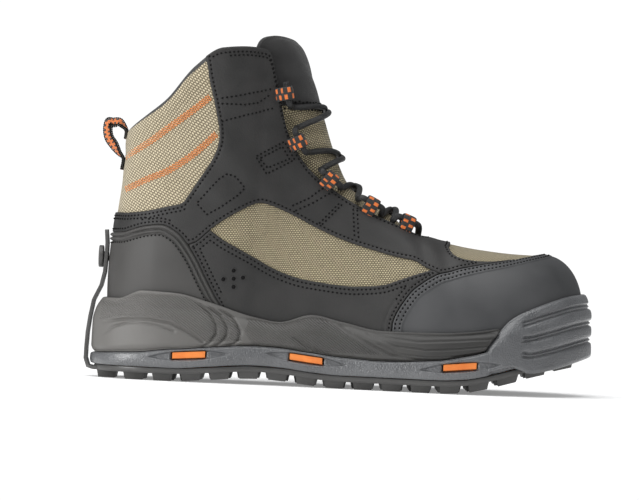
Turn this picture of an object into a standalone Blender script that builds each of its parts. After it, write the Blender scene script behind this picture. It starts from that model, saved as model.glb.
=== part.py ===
"""Right wading boot with a peel-off outsole, built as separate named pieces.

Metres, +Z up. The toe points to +X, the lateral side faces -Y, and the lugs of heel and
forefoot stand on Z = 0. The last is a set of ribs: each climbs from the feather line,
where the foot's edge meets the sole, to the collar, the throat or the ridge of the vamp.
"""

import math

import bmesh
import bpy
import numpy as np
from mathutils import Matrix, Vector

# Driving sizes of the boot
SOLE_LENGTH = 0.318
BALL_WIDTH = 0.112
BOOT_HEIGHT = 0.212
TOE_SPRING = 0.0225
STRAP_REACH = 0.004
GAP = 0.0003

# Sole stack, from the floor up
TREAD_DEPTH = 0.0045
OUTSOLE_PLATE = 0.0037
KEEPER_PLATE = 0.0010
OUTSOLE_INSET = 0.0025
LUG_LENGTH = 0.0150
LUG_WIDTH = 0.0120
LUG_GAP = 0.0024
TREAD_END = 0.0115
TREAD_TOE_END = 0.0185

# Walls of the upper and of what is sewn on it
UPPER_WALL = 0.0025
COLLAR_WALL = 0.0065
PANEL = 0.0012
RIM_WALL = 0.0020
MIDSOLE_SEAT = 0.0005
FEATHER_INSET = 0.009
HEEL_INSET = 0.0045

# Tongue, insole and lacing
TONGUE_WALL = 0.0050
TONGUE_EDGE = 0.0022
INSOLE = 0.0040
LACE = 0.0035
LOOP_WALL = 0.0011
LOOP_WIDTH = 0.0085
LOOP_TAIL = 0.0150
LOOP_SEAT = 0.0008
LOOP_TURNS = 7
LACE_SEGMENT = 0.016
LACE_CLEARANCE = 0.0010
LACE_OVER_TONGUE = 0.0020
TONGUE_CLEARANCE = 0.0011
INSOLE_CLEARANCE = 0.0010

# Toe bumper, windows and the tabs in them
BUMPER_LIP = 0.0038
LIP_CLEARANCE = 0.0012
CUP_CLEARANCE = 0.0009
BUMPER_PROUD = 0.0006
BUMPER_EDGE = 0.0024
INNER_SPARE = 3.0
GROOVE_WIDTH = 0.0024
GROOVE_DEPTH = 0.0011
WINDOW_LENGTH = 0.0215
WINDOW_SILL = 0.0054
WINDOW_TOP = 0.0102
CHANNEL_OUTER = 0.0066
CHANNEL_INNER = 0.0110
TAB_CLEARANCE = 0.0005
RECESS_LENGTH = 0.052
RECESS_DEPTH = 0.0016

# Heel strap, stud and pull loop
STRAP_WALL = 0.0022
STRAP_WIDTH = 0.0125
STUD_HEIGHT = 0.0764
STUD_FLANGE = 0.0140
STUD_FLANGE_WALL = 0.0030
STUD_STEM = 0.0062
PULL_WALL = 0.0015
PULL_WIDTH = 0.0110
PULL_LOW = 0.655
PULL_HIGH = 0.745

CUP_OFFSET = PANEL + GAP + CUP_CLEARANCE
FLOOR_TO_CHASSIS = TREAD_DEPTH + OUTSOLE_PLATE + GAP
HEEL_X = -SOLE_LENGTH / 2 + STRAP_REACH / 2
LATERAL, MEDIAL = -1, 1

# Sole edge from heel to toe: along is a share of the sole's length, side a share of the
# ball's width measured from the centre line
LATERAL_EDGE = [
    # along, side
    (0.000, 0.000),
    (0.018, 0.190),
    (0.065, 0.305),
    (0.150, 0.370),
    (0.270, 0.382),
    (0.400, 0.385),
    (0.520, 0.420),
    (0.620, 0.470),
    (0.710, 0.503),
    (0.800, 0.490),
    (0.880, 0.420),
    (0.945, 0.290),
    (0.985, 0.120),
    (1.000, -0.050),
]
MEDIAL_EDGE = [
    # along, side
    (0.000, 0.000),
    (0.018, 0.180),
    (0.065, 0.290),
    (0.150, 0.348),
    (0.270, 0.335),
    (0.400, 0.322),
    (0.520, 0.365),
    (0.620, 0.435),
    (0.710, 0.485),
    (0.800, 0.497),
    (0.880, 0.462),
    (0.945, 0.375),
    (0.985, 0.235),
    (1.000, 0.050),
]

# Heights along the sole: rise is a share of the toe spring, chassis and floor are
# heights above the chassis's underside, rim is the midsole's top edge as a share of
# the boot's height
SOLE_ROWS = [
    # along, rise, chassis, floor, rim
    (0.000, 0.00, 0.0070, 0.0155, 0.239),
    (0.045, 0.00, 0.0080, 0.0155, 0.240),
    (0.100, 0.00, 0.0090, 0.0155, 0.266),
    (0.170, 0.00, 0.0116, 0.0155, 0.263),
    (0.240, 0.08, 0.0120, 0.0152, 0.240),
    (0.330, 0.17, 0.0120, 0.0150, 0.200),
    (0.375, 0.15, 0.0120, 0.0150, 0.190),
    (0.440, 0.05, 0.0120, 0.0148, 0.214),
    (0.500, 0.00, 0.0112, 0.0142, 0.197),
    (0.580, 0.00, 0.0100, 0.0135, 0.176),
    (0.690, 0.00, 0.0120, 0.0152, 0.178),
    (0.745, 0.05, 0.0142, 0.0178, 0.184),
    (0.800, 0.22, 0.0150, 0.0180, 0.196),
    (0.864, 0.48, 0.0130, 0.0164, 0.230),
    (1.000, 1.00, 0.0080, 0.0114, 0.290),
]

# Toe bumper from its rear end to the toe: top is its upper edge as a share of the boot's
# height, drop how far its lip hangs below the chassis
BUMPER_ROWS = [
    # along, top, drop
    (0.780, 0.128, 0.0000),
    (0.797, 0.165, 0.0000),
    (0.812, 0.190, 0.0000),
    (0.830, 0.220, 0.0000),
    (0.850, 0.240, 0.0022),
    (0.880, 0.260, 0.0058),
    (0.920, 0.282, 0.0066),
    (0.970, 0.303, 0.0060),
    (1.000, 0.308, 0.0056),
]
BUMPER_GROOVES = (0.285, 0.550, 0.815)

# Windows of the chassis, along the sole; each side has all of them
WINDOWS = (0.2003, 0.4308, 0.7333)

# Ribs of the last: foot is a share of the way from heel to toe along the feather line,
# along and up are where the rib ends, gap its half width there and ridge the sideways
# shift of the ridge, both as shares of the ball's width; swell bows the rib outwards, as
# a share of the ball's width too, and dome closes it over, from 0 at the collar to 1
RIBS = [
    # foot, along, up, gap, ridge, swell, dome
    (0.000, 0.057, 0.748, 0.000, 0.000, 0.090, 0.00),
    (0.050, 0.066, 0.759, 0.125, 0.000, 0.085, 0.00),
    (0.100, 0.091, 0.787, 0.232, 0.000, 0.080, 0.00),
    (0.160, 0.132, 0.835, 0.315, 0.000, 0.075, 0.00),
    (0.230, 0.186, 0.932, 0.362, 0.000, 0.070, 0.00),
    (0.280, 0.242, 0.992, 0.375, 0.000, 0.070, 0.00),
    (0.316, 0.292, 0.999, 0.344, 0.000, 0.070, 0.05),
    (0.338, 0.329, 0.993, 0.286, 0.000, 0.062, 0.10),
    (0.354, 0.351, 0.892, 0.268, 0.000, 0.054, 0.15),
    (0.376, 0.371, 0.767, 0.255, 0.000, 0.045, 0.20),
    (0.418, 0.412, 0.658, 0.232, 0.000, 0.040, 0.30),
    (0.494, 0.495, 0.561, 0.200, 0.000, 0.040, 0.50),
    (0.570, 0.582, 0.496, 0.170, 0.000, 0.040, 0.68),
    (0.630, 0.648, 0.458, 0.125, 0.000, 0.040, 0.85),
    (0.668, 0.682, 0.448, 0.000, 0.005, 0.040, 1.00),
    (0.742, 0.764, 0.429, 0.000, 0.013, 0.040, 1.00),
    (0.822, 0.833, 0.420, 0.000, 0.027, 0.040, 1.00),
    (0.908, 0.877, 0.418, 0.000, 0.036, 0.045, 1.00),
    (1.000, 0.902, 0.414, 0.000, 0.045, 0.050, 1.00),
]
LAST_RIB = len(RIBS) - 1
THROAT_BASE = 14
FORM_RIBS = sorted(
    {k / 2 for k in range(11)}
    | {6, 6.5, 7}
    | {8 + k / 2 for k in range(16)}
    | {16 + k / 3 for k in range(7)}
)
SOLE_RIBS = sorted(
    {k / 2 for k in range(7)}
    | {4, 5, 6.5, 8, 9.5, 10.5, 11, 11.5, 12, 13, 14, 14.5, 15, 15.5}
    | {16 + k / 3 for k in range(7)}
)
BUMPER_RIBS = [15.25, 15.5] + [16 + k / 3 for k in range(7)]
FORM_CLIMBS = [0.0, 0.10, 0.24, 0.43, 0.66, 0.86, 1.0]


def smooth_column(knots, values, flat_ends=False):
    """A curve through a table's column that bends smoothly and never overshoots a row."""
    knots, values = np.asarray(knots, float), np.asarray(values, float)
    step = np.diff(knots)
    slope = np.diff(values) / step
    tangent = np.zeros_like(values)
    for i in range(1, len(values) - 1):
        if slope[i - 1] * slope[i] > 0:
            before, after = 2 * step[i] + step[i - 1], step[i] + 2 * step[i - 1]
            tangent[i] = (before + after) / (before / slope[i - 1] + after / slope[i])
    if not flat_ends:
        tangent[0], tangent[-1] = slope[0], slope[-1]

    def at(x):
        x = np.clip(x, knots[0], knots[-1])
        i = np.clip(np.searchsorted(knots, x) - 1, 0, len(step) - 1)
        u = (x - knots[i]) / step[i]
        start = (1 + 2 * u) * (1 - u) ** 2 * values[i] + u * (1 - u) ** 2 * step[i] * tangent[i]
        end = u * u * (3 - 2 * u) * values[i + 1] + u * u * (u - 1) * step[i] * tangent[i + 1]
        return start + end

    return at


def along_x(along):
    return HEEL_X + np.asarray(along) * SOLE_LENGTH


def closed_edge(samples=24):
    """The sole's whole edge as one round-cornered loop, heel to toe and back."""
    lateral = [(a, -s) for a, s in LATERAL_EDGE]
    medial = list(reversed(MEDIAL_EDGE[1:-1]))
    knots = np.array([(along_x(a), s * BALL_WIDTH) for a, s in lateral + medial])
    count = len(knots)
    points = []
    for i in range(count):
        p0, p1, p2, p3 = (knots[(i + k) % count] for k in (-1, 0, 1, 2))
        for j in range(samples):
            u = j / samples
            points.append(
                0.5
                * (
                    2 * p1
                    + (p2 - p0) * u
                    + (2 * p0 - 5 * p1 + 4 * p2 - p3) * u * u
                    + (3 * p1 - p0 - 3 * p2 + p3) * u**3
                )
            )
    return np.array(points), (len(lateral) - 1) * samples


def half_edges():
    """For each side, the edge from heel to toe with its length share and outward normal."""
    loop, toe = closed_edge()
    ahead = np.roll(loop, -1, axis=0) - np.roll(loop, 1, axis=0)
    normal = np.stack([ahead[:, 1], -ahead[:, 0]], axis=1)
    normal /= np.linalg.norm(normal, axis=1)[:, None]
    normal *= np.sign(np.sum(normal * (loop - loop.mean(0)), axis=1))[:, None]
    order = {
        LATERAL: np.arange(0, toe + 1),
        MEDIAL: np.append(np.arange(len(loop), toe - 1, -1) % len(loop), []).astype(int),
    }
    halves = {}
    for side, index in order.items():
        points = loop[index]
        length = np.append(0, np.cumsum(np.linalg.norm(np.diff(points, axis=0), axis=1)))
        halves[side] = (length / length[-1], points, normal[index])
    return halves


EDGE = half_edges()
SOLE_COLUMNS = [smooth_column([r[0] for r in SOLE_ROWS], [r[k] for r in SOLE_ROWS]) for k in range(1, 5)]
EVEN_RIB_COLUMNS = (1, 2, 4, 5, 6)
RIB_COLUMNS = [
    smooth_column(range(len(RIBS)), [r[k] for r in RIBS], flat_ends=k in EVEN_RIB_COLUMNS)
    for k in range(7)
]


def edge_point(side, share, grow):
    """Plan point on the sole's edge, moved outwards by grow, and its outward normal."""
    shares, points, normals = EDGE[side]
    p = np.stack([np.interp(share, shares, points[:, k]) for k in (0, 1)], axis=-1)
    n = np.stack([np.interp(share, shares, normals[:, k]) for k in (0, 1)], axis=-1)
    n /= np.linalg.norm(n, axis=-1)[..., None]
    return p + n * np.asarray(grow)[..., None], n


def sole_value(column, x):
    return SOLE_COLUMNS[column]((x - HEEL_X) / SOLE_LENGTH)


def chassis_bottom(x):
    return FLOOR_TO_CHASSIS + sole_value(0, x) * TOE_SPRING


def chassis_top(x):
    return chassis_bottom(x) + sole_value(1, x)


def foot_floor(x):
    return chassis_bottom(x) + sole_value(2, x)


def rim_height(x):
    return sole_value(3, x) * BOOT_HEIGHT


def rib_point(side, rib, climb):
    """Point of the last's outer face: rib counts along RIBS, climb goes from 0 to 1."""
    rib, climb = np.broadcast_arrays(np.asarray(rib, float), np.asarray(climb, float))
    foot, along, up, gap, ridge, swell, dome = (column(rib) for column in RIB_COLUMNS)
    heel_share = np.clip(1 - foot / RIBS[3][0], 0, 1)
    inset = FEATHER_INSET + HEEL_INSET * heel_share
    base, outward = edge_point(side, foot, -inset)
    top = np.stack([along_x(along), (ridge + side * gap) * BALL_WIDTH], axis=-1)
    low, high = foot_floor(base[..., 0]), up * BOOT_HEIGHT
    across = base - top
    rise = high - low
    lean = 0.35 * (1 - dome)
    knee = base - across * lean[..., None] + outward * (swell * BALL_WIDTH)[..., None]
    shoulder = top + across * (lean + 0.62 * dome)[..., None]
    knee_z = low + rise * (0.35 + 0.27 * dome)
    shoulder_z = high - rise * lean
    c = climb[..., None]
    plan = (1 - c) ** 3 * base + 3 * c * (1 - c) ** 2 * knee + 3 * c * c * (1 - c) * shoulder + c**3 * top
    c = climb
    z = (1 - c) ** 3 * low + 3 * c * (1 - c) ** 2 * knee_z + 3 * c * c * (1 - c) * shoulder_z + c**3 * high
    return np.concatenate([plan, z[..., None]], axis=-1)


# Collections and finishes


def clear_scene():
    for thing in list(bpy.data.objects):
        bpy.data.objects.remove(thing)


def collection(name):
    made = bpy.data.collections.new(name)
    bpy.context.scene.collection.children.link(made)
    return made


def finish(name, colour, roughness, metallic=0.0):
    material = bpy.data.materials.new(name)
    material.use_nodes = True
    shader = material.node_tree.nodes["Principled BSDF"]
    shader.inputs["Base Color"].default_value = (*colour, 1)
    shader.inputs["Roughness"].default_value = roughness
    shader.inputs["Metallic"].default_value = metallic
    return material


clear_scene()
BOOT = collection("wading_boot")
CUTTERS = collection("cutters")
BLACK_RUBBER = finish("black_rubber", (0.030, 0.029, 0.027), 0.75)
CHASSIS_RUBBER = finish("chassis_rubber", (0.026, 0.027, 0.030), 0.5)
FOAM = finish("midsole_foam", (0.040, 0.039, 0.037), 0.7)
KHAKI_MESH = finish("khaki_mesh", (0.30, 0.25, 0.155), 0.85)
BLACK_PANEL = finish("black_panel", (0.028, 0.028, 0.027), 0.7)
TOE_RUBBER = finish("toe_rubber", (0.045, 0.046, 0.048), 0.55)
ORANGE_PLASTIC = finish("orange_plastic", (0.85, 0.21, 0.03), 0.4)
WEBBING = finish("webbing", (0.45, 0.13, 0.03), 0.8)
LACE_CORD = finish("lace_cord", (0.018, 0.018, 0.018), 0.8)
BLACK_KNIT = finish("black_knit", (0.022, 0.021, 0.021), 0.8)
INSOLE_FOAM = finish("insole_foam", (0.05, 0.05, 0.05), 0.85)


# Mesh helpers


def show(name, mesh, material=None, cutter=False):
    thing = bpy.data.objects.new(name, mesh)
    (CUTTERS if cutter else BOOT).objects.link(thing)
    if material:
        mesh.materials.append(material)
    if cutter:
        thing.hide_render = True
        thing.display_type = "WIRE"
    return thing


def mesh_from(name, points, faces):
    """A mesh from a grid of points, its doubles merged and its faces pointing outwards."""
    shape = bmesh.new()
    corners = [shape.verts.new(p) for p in points]
    for face in faces:
        ring = [corners[i] for i in face]
        if len({tuple(np.round(v.co, 7)) for v in ring}) == len(ring):
            shape.faces.new(ring)
        else:
            kept = []
            for v in ring:
                if not kept or (v.co - kept[-1].co).length > 1e-7:
                    kept.append(v)
            if (kept[0].co - kept[-1].co).length < 1e-7:
                kept.pop()
            if len(kept) > 2:
                shape.faces.new(kept)
    bmesh.ops.remove_doubles(shape, verts=shape.verts, dist=1e-6)
    bmesh.ops.delete(shape, geom=[v for v in shape.verts if not v.link_faces], context="VERTS")
    bmesh.ops.recalc_face_normals(shape, faces=shape.faces)
    mesh = bpy.data.meshes.new(name)
    shape.to_mesh(mesh)
    shape.free()
    return mesh


def baked(thing):
    """The object's evaluated mesh, so that its modifiers become plain geometry."""
    bpy.context.view_layer.update()
    mesh = bpy.data.meshes.new_from_object(thing.evaluated_get(bpy.context.evaluated_depsgraph_get()))
    thing.modifiers.clear()
    thing.data = mesh
    return thing


def boolean(thing, cutter, operation):
    change = thing.modifiers.new(operation.lower(), "BOOLEAN")
    change.operation = operation
    change.object = cutter
    change.solver = "EXACT"
    return baked(thing)


def plan_rings(shares, ring_at):
    """Rings of points round the sole; ring_at(side, shares) gives one side's points."""
    lateral, medial = ring_at(LATERAL, shares), ring_at(MEDIAL, shares)
    return np.concatenate([lateral, medial[-2:0:-1]])


def loft_faces(count, rings):
    faces = []
    for level in range(rings - 1):
        for i in range(count):
            j = (i + 1) % count
            a, b = level * count, (level + 1) * count
            faces += [(a + i, a + j, b + j), (a + i, b + j, b + i)]
    return faces


def ladder_cap(count, first):
    """Faces that join a ring's lateral points to the medial ones across the sole."""
    half = count // 2
    faces = []
    for i in range(half):
        near, far = first + (-i) % count, first + (-i - 1) % count
        faces += [(first + i, first + i + 1, far), (first + i, far, near)]
    return faces


def ring_solid(name, rings, material=None, cutter=False):
    """A closed solid lofted through rings of equal count, with a ladder of faces at each end."""
    count = len(rings[0])
    faces = loft_faces(count, len(rings)) + ladder_cap(count, 0)
    faces += ladder_cap(count, (len(rings) - 1) * count)
    return show(name, mesh_from(name, np.concatenate(rings), faces), material, cutter)


SOLE_SHARES = RIB_COLUMNS[0](np.array(SOLE_RIBS))
CUP_SHARES = RIB_COLUMNS[0](np.array(FORM_RIBS))


def sole_ring(grow, height, stations=None):
    """One ring round the sole: grow may be a number or a function of x, height one of x."""

    def at(side, shares):
        plan, _ = edge_point(side, shares, 0.0)
        out = grow(plan[:, 0]) if callable(grow) else np.full(len(shares), grow)
        plan, _ = edge_point(side, shares, out)
        return np.column_stack([plan, height(plan[:, 0])])

    return plan_rings(SOLE_SHARES if stations is None else stations, at)


# The last as a surface: its normals, its forms and where a height meets it


def form_normal(side, rib, climb):
    """Outward normal of the last at a rib and climb, from its own small steps."""
    step = 1e-3
    climb = np.where(rib > LAST_RIB - 0.5, np.minimum(climb, 0.97), climb)
    ahead = rib_point(side, np.minimum(rib + step, LAST_RIB), climb)
    ahead = ahead - rib_point(side, np.maximum(rib - step, 0), climb)
    higher = rib_point(side, rib, np.minimum(climb + step, 1))
    higher = higher - rib_point(side, rib, np.maximum(climb - step, 0))
    normal = np.cross(ahead, higher) * -side
    return normal / np.linalg.norm(normal, axis=-1)[..., None]


def form_point(side, rib, climb, offset):
    """Point off the last's face; on heel, toe and ridge both sides share one normal."""
    rib, climb = np.broadcast_arrays(np.asarray(rib, float), np.asarray(climb, float))
    normal = form_normal(side, rib, climb)
    shared = (rib <= 0) | (rib >= LAST_RIB) | ((rib >= THROAT_BASE) & (climb >= 1))
    both = normal + form_normal(-side, rib, climb)
    both /= np.maximum(np.linalg.norm(both, axis=-1), 1e-9)[..., None]
    normal = np.where(shared[..., None], both, normal)
    return rib_point(side, rib, climb) + normal * np.asarray(offset)[..., None]


def rib_at_share(share):
    """The rib, a number along RIBS, whose foot is at a share of the way from heel to toe."""
    dense = np.linspace(0, LAST_RIB, 40 * LAST_RIB + 1)
    return np.interp(share, RIB_COLUMNS[0](dense), dense)


def climb_at_height(side, rib, height):
    """How far up each rib a height lies."""
    dense = np.linspace(0, 1, 201)
    ribs, heights = np.broadcast_arrays(np.asarray(rib, float), np.asarray(height, float))
    lifts = rib_point(side, ribs[:, None], dense[None, :])[..., 2]
    return np.array([np.interp(h, lift, dense) for h, lift in zip(heights, lifts)])


def ease(value, start, end):
    """Smooth step from 0 at start to 1 at end."""
    u = np.clip((value - start) / (end - start), 0, 1)
    return u * u * (3 - 2 * u)


def upper_wall(rib, climb):
    """Wall of the upper: one layer below, padded at the collar."""
    pad = ease(climb, 0.60, 0.80) * ease(rib, 6.6, 5.4)
    return UPPER_WALL + (COLLAR_WALL - UPPER_WALL) * pad


def form_shell(name, inner, outer, material=None, cutter=False):
    """Hollow boot between two offsets of the last, open at collar, throat and underneath."""
    ribs = FORM_RIBS[::-1] + FORM_RIBS[1:]
    sides = [LATERAL] * len(FORM_RIBS) + [MEDIAL] * (len(FORM_RIBS) - 1)
    climbs = np.array(FORM_CLIMBS)
    rows = []
    for side, rib in zip(sides, ribs):
        offsets = [offset(rib, climbs) + 0 * climbs for offset in (outer, inner)]
        ring = [form_point(side, rib, climbs, o) for o in offsets]
        rows.append(np.concatenate([ring[0], ring[1][::-1]]))
    count = len(rows[0])
    levels = len(FORM_CLIMBS)
    faces = []
    for i in range(len(rows) - 1):
        closed_ridge = min(ribs[i], ribs[i + 1]) >= THROAT_BASE
        for j in range(count):
            if closed_ridge and j == levels - 1:
                continue
            k = (j + 1) % count
            here, there = i * count, (i + 1) * count
            if j < levels:
                faces += [(here + j, there + j, there + k), (here + j, there + k, here + k)]
            else:
                faces += [(here + j, there + j, here + k), (there + j, there + k, here + k)]
    return show(name, mesh_from(name, np.concatenate(rows), faces), material, cutter)


def outline_points(table):
    """An outline given as shares of the sole's length and the boot's height, in metres."""
    return [(float(along_x(a)), u * BOOT_HEIGHT) for a, u in table]


def side_prism(name, outline, low, high):
    """A prism of an outline in the side view, from one width to another."""
    shape = bmesh.new()
    face = shape.faces.new([shape.verts.new((x, low, z)) for x, z in outline])
    moved = bmesh.ops.extrude_face_region(shape, geom=[face])["geom"]
    bmesh.ops.translate(
        shape, verts=[v for v in moved if isinstance(v, bmesh.types.BMVert)], vec=(0, high - low, 0)
    )
    bmesh.ops.recalc_face_normals(shape, faces=shape.faces)
    mesh = bpy.data.meshes.new(name)
    shape.to_mesh(mesh)
    shape.free()
    return show(name, mesh, cutter=True)


# Sole stack


def toe_pocket(x):
    """How far the outsole draws in behind the bumper's lip, from ball to toe."""
    return ease(x, float(along_x(0.80)), float(along_x(0.87)))


def outsole_edge(x):
    return -OUTSOLE_INSET - (BUMPER_LIP + LIP_CLEARANCE - OUTSOLE_INSET) * toe_pocket(x)


def build_chassis_band():
    rings = [
        sole_ring(-0.0016, lambda x: chassis_bottom(x)),
        sole_ring(-0.0002, lambda x: chassis_bottom(x) + 0.0012),
        sole_ring(0.0002, lambda x: chassis_bottom(x) + 0.45 * sole_value(1, x)),
        sole_ring(-0.0002, lambda x: chassis_top(x) - 0.0014),
        sole_ring(-0.0014, lambda x: chassis_top(x)),
    ]
    return ring_solid("chassis", rings, CHASSIS_RUBBER)


BUMPER_TOP, BUMPER_DROP = (
    smooth_column([r[0] for r in BUMPER_ROWS], [r[k] for r in BUMPER_ROWS]) for k in (1, 2)
)


def bumper_solid(name, spare, cutter=False):
    """Toe bumper as a wall round the toe; spare grows it all round for its cutter."""
    start = float(np.interp(along_x(BUMPER_ROWS[0][0]), EDGE[LATERAL][1][:, 0], EDGE[LATERAL][0]))
    first = float(rib_at_share(start)) - spare * 100
    steps = np.append(first, [rib for rib in BUMPER_RIBS if rib > first + 0.05])
    rows = []
    for side, ribs in ((LATERAL, steps), (MEDIAL, steps[-2::-1])):
        for rib in ribs:
            rows.append(bumper_section(side, rib, spare))
    count = len(rows[0])
    faces = loft_faces(count, len(rows))
    faces += [tuple(range(count)), tuple(range((len(rows) - 1) * count, len(rows) * count))]
    return show(name, mesh_from(name, np.concatenate(rows), faces), cutter=cutter)


def bumper_section(side, rib, spare):
    """One section of the bumper: lobed outside, top edge, then down the upper's own face."""
    foot = RIB_COLUMNS[0](np.array([rib]))
    edge, outward = edge_point(side, foot, 0.0)
    edge, outward = edge[0], outward[0]
    x = edge[0]
    along = (x - HEEL_X) / SOLE_LENGTH
    top = float(BUMPER_TOP(along)) * BOOT_HEIGHT + spare
    drop = float(BUMPER_DROP(along))
    sunk = chassis_top(x) - 0.0020
    low = chassis_bottom(x) + 0.0022 * (1 - min(drop / 0.0050, 1)) - drop
    height = top - low
    fade = float(ease(along, 0.800, 0.850))
    clear = CUP_OFFSET

    def inside(z, more=0.0):
        climb = climb_at_height(side, np.array([rib]), np.array([z]))
        return form_point(side, np.array([rib]), climb, np.array([clear + more]))[0]

    def inside_grow(z):
        return float(np.dot(inside(z)[:2] - edge, outward))

    def outer(share, grow):
        z = low + share * height
        lean = 0.0042 * max(0.0, (share - 0.62) / 0.38) ** 2 + 0.0009 * share
        grow = grow + BUMPER_PROUD - lean
        grow = max(grow, inside_grow(min(z, top)) + BUMPER_EDGE * min(1, height / 0.02)) + spare
        return (*(edge + outward * grow), z)

    points = [outer(0.0, -0.0014), outer(0.07, 0.0)]
    half = 0.5 * GROOVE_WIDTH / max(height, 0.012)
    for groove in BUMPER_GROOVES:
        points += [outer(groove - half, 0.0), outer(groove, -GROOVE_DEPTH * fade), outer(groove + half, 0.0)]
    points += [outer(0.95, -0.0004), outer(1.0, -0.0014)]
    floor = foot_floor(x) - 2 * GAP
    for share in (1.0, 0.67, 0.33, 0.0):
        z = max(floor + share * (top - floor), floor)
        points.append(tuple(inside(z, -INNER_SPARE * spare)))
    foot_in = inside(floor, -INNER_SPARE * spare)
    points.append((foot_in[0], foot_in[1], sunk))
    lip = edge - outward * (BUMPER_LIP * min(drop / 0.0050, 1) + 0.0030 * (1 - min(drop / 0.0050, 1)))
    points += [(lip[0], lip[1], sunk), (lip[0], lip[1], low)]
    return points


def edge_frame(side, along):
    """Where a length share meets the sole's edge: point, forward direction and outward one."""
    shares, points, normals = EDGE[side]
    x = float(along_x(along))
    keep = slice(4, len(points) - 4)
    share = np.interp(x, points[keep, 0], shares[keep])
    point, outward = edge_point(side, np.array([share]), 0.0)
    forward = np.array([outward[0][1], -outward[0][0]]) * -side
    return point[0], forward, outward[0]


def edge_block(name, side, along, length, profile, material=None, cutter=False):
    """A profile of (inwards from the edge, height) pairs, drawn out along the sole's edge."""
    point, forward, outward = edge_frame(side, along)
    shape = bmesh.new()
    ends = []
    for end in (-0.5, 0.5):
        plan = [point - outward * inwards + forward * end * length for inwards, _ in profile]
        slope = float(chassis_bottom(point[0] + forward[0] * end * length) - chassis_bottom(point[0]))
        ends.append([shape.verts.new((p[0], p[1], z + slope)) for p, (_, z) in zip(plan, profile)])
    count = len(profile)
    for i in range(count):
        j = (i + 1) % count
        shape.faces.new((ends[0][i], ends[0][j], ends[1][j], ends[1][i]))
    shape.faces.new(ends[0])
    shape.faces.new(ends[1])
    bmesh.ops.recalc_face_normals(shape, faces=shape.faces)
    mesh = bpy.data.meshes.new(name)
    shape.to_mesh(mesh)
    shape.free()
    return show(name, mesh, material, cutter)


def window_level(side, along):
    return chassis_bottom(edge_frame(side, along)[0][0])


def cut_window(chassis, side, along):
    """Almond recess, the window in it and the channel up which the tab comes."""
    point, forward, outward = edge_frame(side, along)
    base = window_level(side, along)
    middle = base + (WINDOW_SILL + WINDOW_TOP) / 2
    shape = bmesh.new()
    bmesh.ops.create_uvsphere(shape, u_segments=12, v_segments=6, radius=0.5)
    turn = Matrix(
        (
            (forward[0] * RECESS_LENGTH, outward[0] * 4 * RECESS_DEPTH, 0, point[0]),
            (forward[1] * RECESS_LENGTH, outward[1] * 4 * RECESS_DEPTH, 0, point[1]),
            (0, 0, 1.5 * (WINDOW_TOP - WINDOW_SILL), middle),
            (0, 0, 0, 1),
        )
    )
    bmesh.ops.transform(shape, matrix=turn, verts=shape.verts)
    bmesh.ops.recalc_face_normals(shape, faces=shape.faces)
    mesh = bpy.data.meshes.new("almond_recess")
    shape.to_mesh(mesh)
    shape.free()
    boolean(chassis, show("almond_recess", mesh, cutter=True), "DIFFERENCE")
    sill, top, below = base + WINDOW_SILL, base + WINDOW_TOP, base - 0.003
    profile = [
        (-0.004, sill),
        (-0.004, top),
        (CHANNEL_INNER, top),
        (CHANNEL_INNER, below),
        (CHANNEL_OUTER, below),
        (CHANNEL_OUTER, sill),
    ]
    window = edge_block("window", side, along, WINDOW_LENGTH, profile, cutter=True)
    boolean(chassis, window, "DIFFERENCE")


def build_chassis():
    chassis = build_chassis_band()
    boolean(chassis, bumper_solid("bumper_form", 0.0, cutter=True), "UNION")
    for side in (LATERAL, MEDIAL):
        for along in WINDOWS:
            cut_window(chassis, side, along)
    return chassis


def upper_ring(offset, rim_share):
    """Ring on the last's face inside the midsole, at a share of the way up to the rim."""

    def at(side, shares):
        ribs = rib_at_share(shares)
        plan, _ = edge_point(side, shares, 0.0)
        rim = climb_at_height(side, ribs, midsole_rim(plan[:, 0]))
        points = form_point(side, ribs, rim * rim_share, np.full(len(shares), offset))
        if rim_share == 0.0:
            base = rib_point(side, ribs, 0.0)
            points[:, 2] = foot_floor(base[:, 0]) - GAP
        return points

    return plan_rings(CUP_SHARES, at)


def cup_ring(grow, level):
    """Ring on the midsole's outside at a share of its height, never closer to its inside."""

    def at(side, shares):
        ribs = rib_at_share(shares)
        edge, outward = edge_point(side, shares, 0.0)
        base = chassis_top(edge[:, 0]) + MIDSOLE_SEAT
        height = base + level * (midsole_rim(edge[:, 0]) - base)
        draw_in = grow - 0.0012 * (level < 0.7) * ease(edge[:, 0], float(along_x(0.80)), float(along_x(0.83)))
        climb = climb_at_height(side, ribs, height)
        inside = form_point(side, ribs, climb, np.full(len(shares), CUP_OFFSET))
        clear = np.sum((inside[:, :2] - edge) * outward, axis=1) + RIM_WALL
        above = height > foot_floor(edge[:, 0])
        out = np.where(above, np.maximum(draw_in, clear), draw_in)
        plan, _ = edge_point(side, shares, out)
        return np.column_stack([plan, height])

    return plan_rings(CUP_SHARES, at)


def midsole_rim(x):
    """Height of the midsole's top edge, which drops out of sight behind the bumper."""
    hidden = ease(x, float(along_x(0.803)), float(along_x(0.843)))
    return rim_height(x) * (1 - hidden) + (foot_floor(x) + 0.0012) * hidden


def build_midsole():
    rings = [
        cup_ring(-0.0026, 0.0),
        cup_ring(-0.0002, 0.12),
        cup_ring(-0.0005, 0.58),
        cup_ring(-0.0026, 0.82),
        cup_ring(-0.0050, 0.94),
        upper_ring(CUP_OFFSET + 0.5 * RIM_WALL, 1.0),
        upper_ring(CUP_OFFSET, 0.97),
        upper_ring(CUP_OFFSET, 0.50),
        upper_ring(CUP_OFFSET, 0.0),
    ]
    midsole = ring_solid("midsole", rings, FOAM)
    boolean(midsole, bumper_solid("bumper_space", GAP, cutter=True), "DIFFERENCE")
    return midsole


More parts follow.
